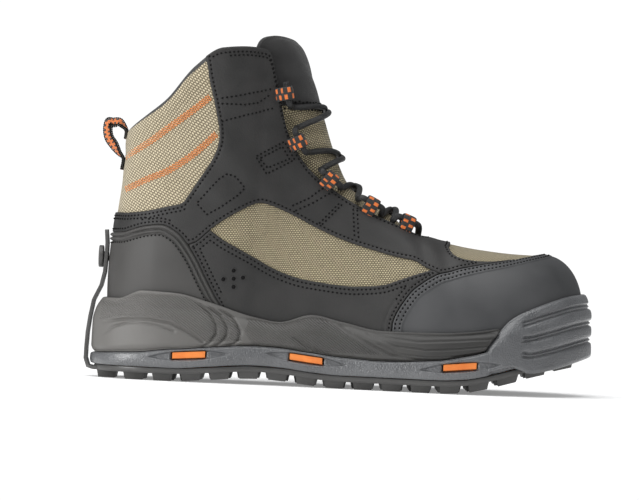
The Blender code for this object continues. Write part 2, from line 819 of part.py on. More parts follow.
def build_keeper():
    """Plate let into the outsole's top, with a hooked tab for each window."""
    top = GAP

    def edge(x):
        return outsole_edge(x) - 0.0030

    keeper = ring_solid(
        "keeper_plate",
        [
            sole_ring(edge, lambda x: chassis_bottom(x) - top - KEEPER_PLATE),
            sole_ring(edge, lambda x: chassis_bottom(x) - top),
        ],
        ORANGE_PLASTIC,
    )
    for side in (LATERAL, MEDIAL):
        for along in WINDOWS:
            base = window_level(side, along)
            length = WINDOW_LENGTH - 2 * TAB_CLEARANCE
            high = base + WINDOW_TOP - TAB_CLEARANCE
            sill, root = base + WINDOW_SILL + TAB_CLEARANCE, base - top - KEEPER_PLATE / 2
            outer, inner = CHANNEL_OUTER + TAB_CLEARANCE, CHANNEL_INNER - TAB_CLEARANCE
            nose = RECESS_DEPTH + TAB_CLEARANCE
            profile = [(nose, sill), (nose, high), (inner, high), (inner, root), (outer, root), (outer, sill)]
            tab = edge_block("window_tab", side, along, length, profile, cutter=True)
            boolean(keeper, tab, "UNION")
    return keeper


def tread_block(x, y, length, width, turn):
    """One lug: a block whose foot is a little smaller than its root, on the tread's face."""
    shape = bmesh.new()
    bmesh.ops.create_cube(shape, size=1.0)
    spin = Matrix.Rotation(turn, 3, "Z")
    for corner in shape.verts:
        taper = 1.0 if corner.co.z > 0 else 0.84
        flat = spin @ Vector((corner.co.x * length * taper, corner.co.y * width * taper, 0))
        bottom = corner.co.z < 0
        corner.co = Vector((x + flat.x, y + flat.y, 0))
        ground = chassis_bottom(corner.co.x) - FLOOR_TO_CHASSIS
        corner.co.z = ground if bottom else ground + TREAD_DEPTH + 0.0006
    bmesh.ops.recalc_face_normals(shape, faces=shape.faces)
    return shape


def edge_width(side, x):
    shares, points, _ = EDGE[side]
    keep = slice(2, len(points) - 2)
    return float(np.interp(x, points[keep, 0], points[keep, 1]))


def tread_lugs():
    """All lugs in rows across the sole, slanted by turns, and small ones round the heel."""
    joined = bmesh.new()
    first, last = HEEL_X + TREAD_END, HEEL_X + SOLE_LENGTH - TREAD_TOE_END
    rows = int((last - first) / (LUG_LENGTH + LUG_GAP)) + 1
    for row in range(rows):
        x = first + row * (last - first) / (rows - 1)
        margin = float(-outsole_edge(x)) + 0.0010
        ends = (x - LUG_LENGTH / 2, x + LUG_LENGTH / 2)
        left = max(edge_width(LATERAL, end) for end in ends) + margin
        right = min(edge_width(MEDIAL, end) for end in ends) - margin
        across = max(2, int((right - left) / (LUG_WIDTH + LUG_GAP)))
        step = (right - left) / across
        for k in range(across):
            y = left + (k + 0.5) * step
            turn = math.radians(12) * (1 if (row + k) % 2 else -1)
            outer = k in (0, across - 1)
            length = LUG_LENGTH * (0.86 if outer else 0.92)
            piece = tread_block(x, y, length, step * 0.76, 0.0 if outer else turn)
            mesh = bpy.data.meshes.new("lug")
            piece.to_mesh(mesh)
            piece.free()
            joined.from_mesh(mesh)
            bpy.data.meshes.remove(mesh)
    mesh = bpy.data.meshes.new("tread_lugs")
    joined.to_mesh(mesh)
    joined.free()
    return show("tread_lugs", mesh, cutter=True)


def heel_face(height):
    """X of what the strap lies on at the back of the heel, at a height."""
    rim = float(midsole_rim(np.array([HEEL_X]))[0])
    climb = climb_at_height(LATERAL, np.array([0.0]), np.array([height]))
    counter = form_point(LATERAL, np.array([0.0]), climb, np.array([PANEL + GAP]))[0][0]
    if height > rim + 0.004:
        return float(counter)
    shares = (0.0, 0.38, 0.62, 0.82, 0.94, 1.0)
    grows = (0.0008, 0.0002, -0.0008, -0.0026, -0.0050, -0.0072)
    base = float(chassis_top(HEEL_X))
    share = (height - base) / (rim - base)
    return HEEL_X - float(np.interp(share, shares, grows))


def strap_solid():
    """Heel strap from inside the outsole's plate, up over the heel to its paddle."""
    gap = 0.0007 + STRAP_WALL / 2
    low = TREAD_DEPTH + STRAP_WALL / 2 + 0.0001
    route = [(HEEL_X + 0.012, low), (HEEL_X + 0.0022, low), (HEEL_X - 0.0012, low + 0.0008)]
    for height in (0.0115, 0.018, 0.028, 0.038):
        route.append((heel_face(height) - gap - 0.0003, height))
    route += [
        (heel_face(0.047) - gap - 0.0016, 0.0485),
        (heel_face(0.060) - gap - 0.0020, 0.0580),
        (heel_face(0.068) - gap - 0.0003, 0.0665),
        (heel_face(STUD_HEIGHT) - gap, STUD_HEIGHT),
        (heel_face(0.085) - gap - 0.0004, 0.0850),
        (heel_face(0.094) - gap - 0.0020, 0.0935),
    ]
    widths = [1.7, 1.6, 1.4, 1.2, 1.05, 1.0, 1.0, 1.0, 1.0, 1.06, 1.12, 1.06, 0.72]
    rows = []
    for i, (x, z) in enumerate(route):
        before, after = route[max(i - 1, 0)], route[min(i + 1, len(route) - 1)]
        run = Vector((after[0] - before[0], after[1] - before[1])).normalized()
        normal = Vector((-run.y, run.x))
        half, wall = widths[i] * STRAP_WIDTH / 2, STRAP_WALL / 2
        for across, deep in ((-1, -1), (1, -1), (1, 1), (-1, 1)):
            rows.append((x + normal.x * wall * deep, across * half, z + normal.y * wall * deep))
    rings = [rows[i : i + 4] for i in range(0, len(rows), 4)]
    faces = loft_faces(4, len(rings)) + [(0, 1, 2, 3), tuple(4 * (len(rings) - 1) + k for k in range(4))]
    strap = show("heel_strap", mesh_from("heel_strap", [p for ring in rings for p in ring], faces), cutter=True)
    slot = cylinder("strap_slot", STUD_STEM + 0.0008, 0.02, HEEL_X, STUD_HEIGHT, sides=12, cutter=True)
    boolean(strap, slot, "DIFFERENCE")
    return strap


def cylinder(name, width, length, x, z, sides=20, material=None, cutter=False):
    """A cylinder lying along X about a point on the centre line."""
    shape = bmesh.new()
    bmesh.ops.create_cone(
        shape, cap_ends=True, segments=sides, radius1=width / 2, radius2=width / 2, depth=length
    )
    bmesh.ops.rotate(shape, verts=shape.verts, matrix=Matrix.Rotation(math.pi / 2, 3, "Y"))
    bmesh.ops.translate(shape, verts=shape.verts, vec=(x, 0, z))
    mesh = bpy.data.meshes.new(name)
    shape.to_mesh(mesh)
    shape.free()
    return show(name, mesh, material, cutter)


def build_outsole():
    def rim(x):
        return outsole_edge(x) - 0.0030 + GAP

    bed = -GAP - KEEPER_PLATE - GAP
    rings = [
        sole_ring(lambda x: outsole_edge(x) - 0.0010, lambda x: chassis_bottom(x) - GAP - OUTSOLE_PLATE),
        sole_ring(outsole_edge, lambda x: chassis_bottom(x) - GAP - OUTSOLE_PLATE * 0.7),
        sole_ring(outsole_edge, lambda x: chassis_bottom(x) - GAP - 0.0004),
        sole_ring(lambda x: outsole_edge(x) - 0.0004, lambda x: chassis_bottom(x) - GAP),
        sole_ring(rim, lambda x: chassis_bottom(x) - GAP),
        sole_ring(rim, lambda x: chassis_bottom(x) + bed),
    ]
    outsole = ring_solid("outsole", rings, BLACK_RUBBER)
    boolean(outsole, tread_lugs(), "UNION")
    boolean(outsole, strap_solid(), "UNION")
    return outsole


def build_stud():
    face = heel_face(STUD_HEIGHT) - GAP
    behind = 0.0007 + STRAP_WALL + 0.0005
    stem_end = face - behind - STUD_FLANGE_WALL / 2
    stem = cylinder(
        "strap_knob", STUD_STEM, face - stem_end, (face + stem_end) / 2, STUD_HEIGHT, 16, TOE_RUBBER
    )
    middle = face - behind - STUD_FLANGE_WALL / 2
    flange = cylinder("stud_flange", STUD_FLANGE, STUD_FLANGE_WALL, middle, STUD_HEIGHT, 24, cutter=True)
    boolean(stem, flange, "UNION")
    return stem


# Upper and what is sewn on it


def build_upper():
    return form_shell(
        "upper", lambda rib, climb: -upper_wall(rib, climb), lambda rib, climb: 0.0, KHAKI_MESH
    )


TOE_CAP_EDGE = [
    # along, up
    (0.599, 0.080),
    (0.599, 0.185),
    (0.602, 0.213),
    (0.611, 0.243),
    (0.624, 0.274),
    (0.637, 0.299),
    (0.653, 0.318),
    (0.672, 0.337),
    (0.692, 0.350),
    (0.751, 0.373),
    (0.811, 0.390),
    (0.870, 0.409),
    (0.920, 0.424),
]
COUNTER_EDGE = [
    # along, up
    (0.266, 0.080),
    (0.262, 0.210),
    (0.245, 0.262),
    (0.228, 0.308),
    (0.205, 0.372),
    (0.180, 0.424),
    (0.160, 0.448),
    (0.140, 0.461),
    (0.112, 0.458),
    (0.088, 0.449),
    (0.058, 0.432),
    (-0.030, 0.424),
]
THROAT_LINE = [
    # along, up
    (0.660, 0.350),
    (0.668, 0.402),
    (0.705, 0.424),
    (0.735, 0.480),
    (0.560, 0.620),
    (0.470, 0.760),
    (0.420, 0.950),
    (0.390, 1.060),
    (0.290, 1.060),
]
ANKLE_REAR = [
    # along, up
    (0.209, 0.965),
    (0.218, 0.895),
    (0.232, 0.815),
    (0.242, 0.740),
    (0.239, 0.694),
    (0.226, 0.648),
    (0.204, 0.595),
    (0.185, 0.549),
    (0.174, 0.527),
    (0.146, 0.516),
    (0.106, 0.501),
    (0.068, 0.493),
    (-0.030, 0.500),
]
ANKLE_LOWER = [
    # along, up
    (-0.030, 0.432),
    (0.058, 0.440),
    (0.088, 0.457),
    (0.112, 0.466),
    (0.140, 0.470),
    (0.163, 0.466),
    (0.186, 0.450),
    (0.206, 0.424),
    (0.232, 0.453),
    (0.257, 0.482),
    (0.286, 0.510),
    (0.318, 0.535),
    (0.340, 0.536),
    (0.386, 0.511),
    (0.448, 0.467),
    (0.509, 0.432),
    (0.580, 0.403),
    (0.635, 0.386),
    (0.660, 0.350),
]
MUDGUARD_TOP = [
    # along, up
    (0.232, 0.452),
    (0.259, 0.424),
    (0.290, 0.400),
    (0.320, 0.377),
    (0.351, 0.352),
    (0.382, 0.333),
    (0.412, 0.320),
    (0.453, 0.311),
    (0.513, 0.303),
    (0.573, 0.310),
    (0.602, 0.324),
    (0.632, 0.341),
]


def overlay(name, outline, material, offset=0.0, sides=(LATERAL, MEDIAL)):
    """A panel on the upper: a shell between two larger forms, cut to an outline."""
    piece = form_shell(
        name, lambda rib, climb: GAP + offset, lambda rib, climb: GAP + offset + PANEL, material
    )
    low = -0.1 if LATERAL in sides else 0.0
    high = 0.1 if MEDIAL in sides else 0.0
    prism = side_prism(name + "_outline", outline_points(outline), low, high)
    return boolean(piece, prism, "INTERSECT")


def build_overlays():
    seam = 0.0022
    toe = [(a + 0, u) for a, u in TOE_CAP_EDGE] + [(1.05, 0.45), (1.05, 0.05)]
    overlay("toe_cap", toe, TOE_RUBBER)
    counter = COUNTER_EDGE + [(-0.03, 0.05)]
    overlay("heel_counter", counter, TOE_RUBBER)
    ankle = ANKLE_LOWER + THROAT_LINE[1:] + [(0.214, 1.06)] + ANKLE_REAR
    overlay("ankle_overlay", ankle, BLACK_PANEL)
    counter_side = [(a + seam, u) for a, u in COUNTER_EDGE[:5]]
    toe_side = [(a - seam, u) for a, u in TOE_CAP_EDGE[:7]]
    guard = counter_side + MUDGUARD_TOP + toe_side[::-1]
    overlay("mudguard_lateral", guard, BLACK_PANEL, sides=(LATERAL,))
    overlay("mudguard_medial", guard, BLACK_PANEL, sides=(MEDIAL,))


# Tongue, insole, lace loops, lace and pull loop

TONGUE_ROWS = [
    # rib, along, up: the ridge of the tongue in front of each rib's end
    (6.55, 0.380, 1.036),
    (7.00, 0.396, 1.005),
    (8.00, 0.423, 0.901),
    (9.00, 0.443, 0.806),
    (10.0, 0.470, 0.689),
    (11.0, 0.505, 0.592),
    (12.0, 0.590, 0.519),
    (12.6, 0.618, 0.482),
    (13.0, 0.640, 0.453),
]
TONGUE_TUCK = 0.0100
TONGUE_UNDER_VAMP = [
    # rib, climb at the tongue's edge
    (13.5, 0.70),
    (14.0, 0.76),
    (14.5, 0.84),
]
ACROSS = 12


def throat_frame(side, rib):
    """Edge of the throat at a rib: point, run along the edge, inward direction and normal."""
    step = 0.05
    here = rib_point(side, rib, 1.0)
    run = rib_point(side, min(rib + step, LAST_RIB), 1.0) - rib_point(side, rib - step, 1.0)
    run = run / np.linalg.norm(run)
    normal = form_point(side, rib, 1.0, 1.0) - here
    normal = normal / np.linalg.norm(normal)
    inward = np.cross(normal, run) * -side
    return here, run, inward / np.linalg.norm(inward), normal


DENSE_RIBS = np.linspace(4, 15, 221)
DENSE_CLIMBS = np.linspace(0.5, 1, 61)
DENSE_FORM = {
    side: rib_point(side, DENSE_RIBS[:, None], DENSE_CLIMBS[None, :]) for side in (LATERAL, MEDIAL)
}


def walk_in(side, rib, distance):
    """Rib and climb of the place that far behind the throat's edge on the last's face."""
    here, _, inward, _ = throat_frame(side, rib)
    goal = here - inward * distance
    apart = np.linalg.norm(DENSE_FORM[side] - goal, axis=-1)
    i, j = np.unravel_index(np.argmin(apart), apart.shape)
    rib, climb = DENSE_RIBS[i], DENSE_CLIMBS[j]
    step = 0.01
    for _ in range(3):
        place = rib_point(side, rib, climb)
        by_rib = (rib_point(side, rib + step, climb) - place) / step
        by_climb = (place - rib_point(side, rib, climb - step)) / step
        moves = np.linalg.lstsq(np.stack([by_rib, by_climb], axis=1), goal - place, rcond=None)[0]
        rib, climb = rib + float(np.clip(moves[0], -0.1, 0.1)), climb + float(np.clip(moves[1], -0.02, 0.02))
        climb = min(climb, 1.0)
    return rib, climb


def under_upper(side, rib, climb, clearance):
    below = float(upper_wall(np.array(rib), np.array(climb))) + clearance
    return form_point(side, rib, climb, -below)


def tongue_section(rib, along, up):
    """Section across the throat: tucked edge, under the eyestay, over the ridge and back."""
    ridge = np.array([float(along_x(along)), 0.0, up * BOOT_HEIGHT])
    halves = []
    for side in (LATERAL, MEDIAL):
        _, _, inward, _ = throat_frame(side, rib)
        edge = under_upper(side, rib, 1.0, TONGUE_CLEARANCE)
        tucked = under_upper(side, *walk_in(side, rib, TONGUE_TUCK), 1.6 * TONGUE_CLEARANCE)
        middle = under_upper(side, *walk_in(side, rib, 0.5 * TONGUE_TUCK), 1.3 * TONGUE_CLEARANCE)
        reach = np.linalg.norm(ridge - edge)
        start = edge + inward * reach * 0.42
        flat = ridge + np.array([0.0, side * reach * 0.48, 0.0])
        half = [tucked, middle]
        for k in range(ACROSS // 2 - 1):
            u = k / (ACROSS // 2 - 1)
            half.append(
                (1 - u) ** 3 * edge + 3 * u * (1 - u) ** 2 * start + 3 * u * u * (1 - u) * flat + u**3 * ridge
            )
        halves.append(half)
    return np.array(halves[0] + [ridge] + halves[1][::-1])


def vamp_section(rib, edge_climb):
    """Section of the tongue where it runs on under the vamp."""
    knots = np.array(FORM_CLIMBS)
    climbs = np.linspace(edge_climb, 1.0, ACROSS // 2 + 2)
    sides = []
    for side in (LATERAL, MEDIAL):
        below = upper_wall(np.full(len(knots), rib), knots) + TONGUE_CLEARANCE
        face = form_point(side, np.full(len(knots), rib), knots, -below)
        sides.append(np.column_stack([np.interp(climbs, knots, face[:, k]) for k in range(3)]))
    sides[0][-1] = (sides[0][-1] + sides[1][-1]) / 2
    return np.concatenate([sides[0], sides[1][-2::-1]])


TONGUE_CURVES = [smooth_column([r[0] for r in TONGUE_ROWS], [r[k] for r in TONGUE_ROWS]) for k in (1, 2)]


def tongue_sections():
    first, last = TONGUE_ROWS[0][0], TONGUE_ROWS[-1][0]
    rows = [
        tongue_section(rib, float(TONGUE_CURVES[0](rib)), float(TONGUE_CURVES[1](rib)))
        for rib in [first] + [rib for rib in FORM_RIBS if 7 <= rib <= last]
    ]
    return rows + [vamp_section(rib, climb) for rib, climb in TONGUE_UNDER_VAMP]


def grid_normals(grid):
    """Normals of a grid of points, rows by columns, turned to the same side all over."""
    down = np.gradient(grid, axis=0)
    over = np.gradient(grid, axis=1)
    normal = np.cross(over, down)
    return normal / np.linalg.norm(normal, axis=2)[:, :, None]


def slab(name, top, bottom, material=None, cutter=False):
    """A closed solid between two grids of points of the same size."""
    rows, columns = top.shape[:2]
    points = np.concatenate([top.reshape(-1, 3), bottom.reshape(-1, 3)])
    under = rows * columns
    faces = []
    for i in range(rows - 1):
        for j in range(columns - 1):
            ring = (i * columns + j, i * columns + j + 1, (i + 1) * columns + j + 1, (i + 1) * columns + j)
            faces.append(ring)
            faces.append(tuple(under + k for k in ring[::-1]))
    rim = [j for j in range(columns)] + [(i + 1) * columns - 1 for i in range(1, rows)]
    rim += [(rows - 1) * columns + j for j in range(columns - 2, -1, -1)]
    rim += [i * columns for i in range(rows - 2, 0, -1)]
    for k, here in enumerate(rim):
        there = rim[(k + 1) % len(rim)]
        faces.append((here, there, under + there, under + here))
    return show(name, mesh_from(name, points, faces), material, cutter)


def build_tongue():
    top = np.array(tongue_sections())
    normal = grid_normals(top)
    middle = np.sin(np.linspace(0, math.pi, top.shape[1]))
    ends = np.minimum(1, (top.shape[0] - 1 - np.arange(top.shape[0])) / 4)
    wall = TONGUE_EDGE + (TONGUE_WALL - TONGUE_EDGE) * middle[None, :] * ends[:, None]
    centre = top.mean(axis=(0, 1)) - np.array([0.02, 0, 0.02])
    away = np.sign(np.sum(normal * (top - centre), axis=2).mean())
    return slab("tongue", top, top - normal * away * wall[:, :, None], BLACK_KNIT)


def build_insole():
    def edge(x):
        heel = np.clip(1 - (x - HEEL_X) / 0.055, 0, 1)
        return -(FEATHER_INSET + HEEL_INSET * heel + UPPER_WALL + INSOLE_CLEARANCE)

    rings = [
        sole_ring(edge, lambda x: foot_floor(x), CUP_SHARES),
        sole_ring(edge, lambda x: foot_floor(x) + INSOLE, CUP_SHARES),
    ]
    return ring_solid("insole", rings, INSOLE_FOAM)


LOOP_ROWS = [
    # rib
    8.25,
    9.45,
    10.55,
    11.50,
    12.45,
]


def loop_axis(side, rib):
    """Middle of a lace loop's tunnel and the frame of the throat there."""
    here, run, inward, normal = throat_frame(side, rib)
    ring = LACE / 2 + LACE_CLEARANCE + LOOP_WALL
    lift = GAP + PANEL + LOOP_SEAT + ring
    return here + normal * lift + inward * (ring * 0.9), run, inward, normal, ring


def build_loop(name, side, rib):
    """Webbing folded round the lace, its tail laid on the eyestay along the upper's face."""
    centre, run, inward, normal, ring = loop_axis(side, rib)
    inner = ring - LOOP_WALL
    turns = [-math.pi / 2 + k * math.pi * 1.5 / LOOP_TURNS for k in range(LOOP_TURNS + 1)]
    seat = GAP + PANEL + LOOP_SEAT
    per_rib = run_per_rib(side, rib)
    rows = []
    for end in (-0.5, 0.5):
        place = rib + end * LOOP_WIDTH / per_rib
        middle = centre + run * end * LOOP_WIDTH
        top, bottom = [], []
        for distance in (LOOP_TAIL, LOOP_TAIL * 0.5, ring * 0.6):
            there = walk_in(side, place, distance)
            bottom.append(form_point(side, *there, seat))
            top.append(form_point(side, *there, seat + 1.8 * LOOP_WALL))
        arc = [middle + (inward * math.cos(t) + normal * math.sin(t)) * ring for t in turns]
        rows.append(np.array(bottom + arc + top[1::-1]))
    count = len(rows[0])
    faces = loft_faces(count, 2) + [tuple(range(count)), tuple(range(count, 2 * count))]
    loop = show(name, mesh_from(name, np.concatenate(rows), faces), WEBBING)
    bore = bmesh.new()
    bmesh.ops.create_cone(
        bore, cap_ends=True, segments=LOOP_TURNS, radius1=inner, radius2=inner, depth=2 * LOOP_WIDTH
    )
    turn = Matrix([[inward[k], normal[k], run[k]] for k in range(3)]).to_4x4()
    bmesh.ops.transform(bore, matrix=Matrix.Translation(Vector(centre)) @ turn, verts=bore.verts)
    bmesh.ops.recalc_face_normals(bore, faces=bore.faces)
    mesh = bpy.data.meshes.new("loop_bore")
    bore.to_mesh(mesh)
    bore.free()
    return boolean(loop, show("loop_bore", mesh, cutter=True), "DIFFERENCE")


def build_loops():
    for side, word in ((LATERAL, "lateral"), (MEDIAL, "medial")):
        for number, rib in enumerate(LOOP_ROWS, 1):
            build_loop("lace_loop_%s_%d" % (word, number), side, rib)


def throat_surface(rib, share):
    """Tongue's face at a rib, share from 0 at the lateral eyestay to 1 at the medial one."""
    section = tongue_section(rib, float(TONGUE_CURVES[0](rib)), float(TONGUE_CURVES[1](rib)))[2:-2]
    place = share * (len(section) - 1)
    return np.array([np.interp(place, range(len(section)), section[:, k]) for k in range(3)])


def run_per_rib(side, rib):
    step = 0.05
    return np.linalg.norm(rib_point(side, rib + step, 1.0) - rib_point(side, rib - step, 1.0)) / (2 * step)


def lace_over_tongue(from_rib, to_rib, start, end, lift):
    """Points of the lace over the tongue between two rows of loops."""
    leave = from_rib - LOOP_WIDTH / run_per_rib(LATERAL, from_rib)
    arrive = to_rib + LOOP_WIDTH / run_per_rib(LATERAL, to_rib)
    points = []
    for u in (0.10, 0.30, 0.5, 0.70, 0.90):
        rib = leave + (arrive - leave) * u
        share = start + (end - start) * u
        here = throat_surface(rib, share)
        across = throat_surface(rib, min(share + 0.03, 1)) - throat_surface(rib, max(share - 0.03, 0))
        along = throat_surface(rib + 0.1, share) - throat_surface(rib - 0.1, share)
        normal = np.cross(across, along)
        normal /= np.linalg.norm(normal)
        if normal[0] < 0:
            normal = -normal
        points.append(here + normal * lift)
    return points


def build_lace():
    """Two strands that cross between the rows, joined where they cross and by the bottom bar."""
    lift = LACE / 2 + LACE_OVER_TONGUE
    rows = LOOP_ROWS[::-1]
    strands = []
    for start_side in (LATERAL, MEDIAL):
        side = start_side
        points = []
        for k, rib in enumerate(rows):
            centre, run, _, _, _ = loop_axis(side, rib)
            for step in (0.85, -0.85):
                points.append(centre + run * step * LOOP_WIDTH)
            if k < len(rows) - 1:
                begin = 0.0 if side == LATERAL else 1.0
                points += lace_over_tongue(rib, rows[k + 1], begin, 1.0 - begin, lift)
                side = -side
        strands.append(points)
    bar = []
    for side, order in ((LATERAL, 1), (MEDIAL, -1)):
        centre, run, _, _, _ = loop_axis(side, rows[0])
        part = [centre + run * step * LOOP_WIDTH for step in (0.0, 0.85)]
        bar.append(part[::order])
    over = [throat_surface(rows[0] + 0.62, share) for share in (0.25, 0.5, 0.75)]
    over = [p + np.array([0.35, 0, 0.94]) * (lift + 0.0002) for p in over]
    tubes = [tube("lace_strand", points, LACE / 2) for points in strands]
    tubes.append(tube("lace_bar", bar[0] + over + bar[1], LACE / 2))
    lace = tubes[0]
    for other in tubes[1:]:
        boolean(lace, other, "UNION")
        bpy.data.objects.remove(other)
    CUTTERS.objects.unlink(lace)
    BOOT.objects.link(lace)
    lace.name = "lace_crossings"
    lace.hide_render = False
    lace.display_type = "TEXTURED"
    lace.data.materials.clear()
    lace.data.materials.append(LACE_CORD)
    return lace


def smooth_route(points, spacing):
    """Points of a smooth curve through the given ones, about a spacing apart."""
    points = np.array(points)
    padded = np.concatenate([[2 * points[0] - points[1]], points, [2 * points[-1] - points[-2]]])
    route = []
    for i in range(1, len(padded) - 2):
        p0, p1, p2, p3 = padded[i - 1 : i + 3]
        steps = max(1, int(round(np.linalg.norm(p2 - p1) / spacing)))
        for j in range(steps):
            u = j / steps
            route.append(
                0.5
                * (
                    2 * p1
                    + (p2 - p0) * u
                    + (2 * p0 - 5 * p1 + 4 * p2 - p3) * u * u
                    + (3 * p1 - p0 - 3 * p2 + p3) * u**3
                )
            )
    return np.array(route + [points[-1]])


def tube(name, points, radius):
    """A round cord along a smooth route, made a closed mesh."""
    curve = bpy.data.curves.new(name, "CURVE")
    curve.dimensions = "3D"
    curve.bevel_depth = radius
    curve.bevel_resolution = 2
    curve.use_fill_caps = True
    route = smooth_route(points, LACE_SEGMENT)
    spline = curve.splines.new("POLY")
    spline.points.add(len(route) - 1)
    for point, place in zip(spline.points, route):
        point.co = (*place, 1)
    thing = bpy.data.objects.new(name, curve)
    CUTTERS.objects.link(thing)
    bpy.context.view_layer.update()
    depsgraph = bpy.context.evaluated_depsgraph_get()
    mesh = bpy.data.meshes.new_from_object(thing.evaluated_get(depsgraph))
    bpy.data.objects.remove(thing)
    shape = bmesh.new()
    shape.from_mesh(mesh)
    bmesh.ops.remove_doubles(shape, verts=shape.verts, dist=1e-6)
    bmesh.ops.recalc_face_normals(shape, faces=shape.faces)
    shape.to_mesh(mesh)
    shape.free()
    return show(name, mesh, cutter=True)


def build_pull_loop():
    """Strip bent out from the back of the collar, both its ends sewn on."""

    def back(height):
        climb = climb_at_height(LATERAL, np.array([0.0]), np.array([height]))
        return float(form_point(LATERAL, np.array([0.0]), climb, np.array([0.0]))[0][0])

    low, high = PULL_LOW * BOOT_HEIGHT, PULL_HIGH * BOOT_HEIGHT
    seat = GAP + PULL_WALL / 2 + 0.0003
    route = [
        (back(low - 0.007) - seat, low - 0.007),
        (back(low) - seat, low),
        (back(low) - seat - 0.0035, low + 0.0035),
        (back(low) - 0.0085, low + 0.0075),
        (back(low) - 0.0122, low + 0.0125),
        (back(low) - 0.0135, low + 0.0185),
        (back(low) - 0.0125, low + 0.0240),
        (back(high) - 0.0105, high + 0.0050),
        (back(high) - 0.0062, high + 0.0052),
        (back(high) - seat - 0.0018, high + 0.0020),
        (back(high) - seat, high - 0.0015),
        (back(high - 0.0065) - seat, high - 0.0065),
    ]
    grids = []
    for deep in (PULL_WALL / 2, -PULL_WALL / 2):
        rows = []
        for i, (x, z) in enumerate(route):
            before, after = route[max(i - 1, 0)], route[min(i + 1, len(route) - 1)]
            run = Vector((after[0] - before[0], after[1] - before[1])).normalized()
            out = Vector((-run.y, run.x)) * deep
            rows.append([(x + out.x, y * PULL_WIDTH, z + out.y) for y in (-0.5, 0.0, 0.5)])
        grids.append(np.array(rows))
    return slab("pull_loop", grids[0], grids[1], WEBBING)


build_chassis()
build_midsole()
build_keeper()
build_outsole()
build_stud()
build_upper()
build_overlays()
build_tongue()
build_insole()
build_loops()
build_lace()
build_pull_loop()
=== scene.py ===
"""Looks of the wading boot: a right boot with its outsole fitted, standing on a pale floor.

The boot's own shapes come from the same tables as its solids. Panels are cut out of one net
laid on the last, so that they follow it and each other closely.
"""

import math

import bmesh
import bpy
import numpy as np
from mathutils import Matrix, Vector
from mathutils.kdtree import KDTree


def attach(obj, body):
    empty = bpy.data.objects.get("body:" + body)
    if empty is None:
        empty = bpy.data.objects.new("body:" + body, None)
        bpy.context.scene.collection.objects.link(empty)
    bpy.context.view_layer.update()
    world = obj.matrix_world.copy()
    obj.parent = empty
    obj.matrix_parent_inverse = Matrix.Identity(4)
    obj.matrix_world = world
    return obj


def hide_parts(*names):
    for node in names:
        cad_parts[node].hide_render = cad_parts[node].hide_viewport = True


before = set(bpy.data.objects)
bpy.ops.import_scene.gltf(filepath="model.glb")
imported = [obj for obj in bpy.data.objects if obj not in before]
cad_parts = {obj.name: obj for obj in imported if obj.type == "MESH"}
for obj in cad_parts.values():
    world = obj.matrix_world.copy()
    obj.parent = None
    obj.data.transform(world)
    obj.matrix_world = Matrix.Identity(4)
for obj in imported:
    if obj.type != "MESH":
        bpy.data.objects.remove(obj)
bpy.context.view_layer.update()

# Driving sizes of the boot
SOLE_LENGTH = 0.318
BALL_WIDTH = 0.112
BOOT_HEIGHT = 0.212
TOE_SPRING = 0.0225
STRAP_REACH = 0.004
GAP = 0.0003
# Sole stack, from the floor up
TREAD_DEPTH = 0.0045
OUTSOLE_PLATE = 0.0037
KEEPER_PLATE = 0.0010
OUTSOLE_INSET = 0.0025
LUG_LENGTH = 0.0150
LUG_WIDTH = 0.0120
LUG_GAP = 0.0024
TREAD_END = 0.0115
TREAD_TOE_END = 0.0185
# Walls of the upper and of what is sewn on it
UPPER_WALL = 0.0025
COLLAR_WALL = 0.0065
PANEL = 0.0012
RIM_WALL = 0.0020
MIDSOLE_SEAT = 0.0005
FEATHER_INSET = 0.009
HEEL_INSET = 0.0045
# Tongue, insole and lacing
TONGUE_WALL = 0.0050
TONGUE_EDGE = 0.0022
INSOLE = 0.0040
LACE = 0.0035
LOOP_WALL = 0.0011
LOOP_WIDTH = 0.0085
LOOP_TAIL = 0.0150
LOOP_SEAT = 0.0008
LACE_CLEARANCE = 0.0010
LACE_OVER_TONGUE = 0.0020
TONGUE_CLEARANCE = 0.0011
INSOLE_CLEARANCE = 0.0010
# Toe bumper, windows and the tabs in them
BUMPER_LIP = 0.0038
LIP_CLEARANCE = 0.0012
CUP_CLEARANCE = 0.0009
BUMPER_PROUD = 0.0006
BUMPER_EDGE = 0.0024
GROOVE_WIDTH = 0.0024
GROOVE_DEPTH = 0.0011
WINDOW_LENGTH = 0.0215
WINDOW_SILL = 0.0054
WINDOW_TOP = 0.0102
CHANNEL_OUTER = 0.0066
CHANNEL_INNER = 0.0110
RECESS_LENGTH = 0.052
RECESS_DEPTH = 0.0016
# Heel strap, stud and pull loop
STRAP_WALL = 0.0022
STRAP_WIDTH = 0.0125
STUD_HEIGHT = 0.0764
STUD_FLANGE = 0.0140
STUD_FLANGE_WALL = 0.0030
STUD_STEM = 0.0062
PULL_WALL = 0.0015
PULL_WIDTH = 0.0110
PULL_LOW = 0.655
PULL_HIGH = 0.745
CUP_OFFSET = PANEL + GAP + CUP_CLEARANCE
FLOOR_TO_CHASSIS = TREAD_DEPTH + OUTSOLE_PLATE + GAP
HEEL_X = -SOLE_LENGTH / 2 + STRAP_REACH / 2
LATERAL, MEDIAL = -1, 1
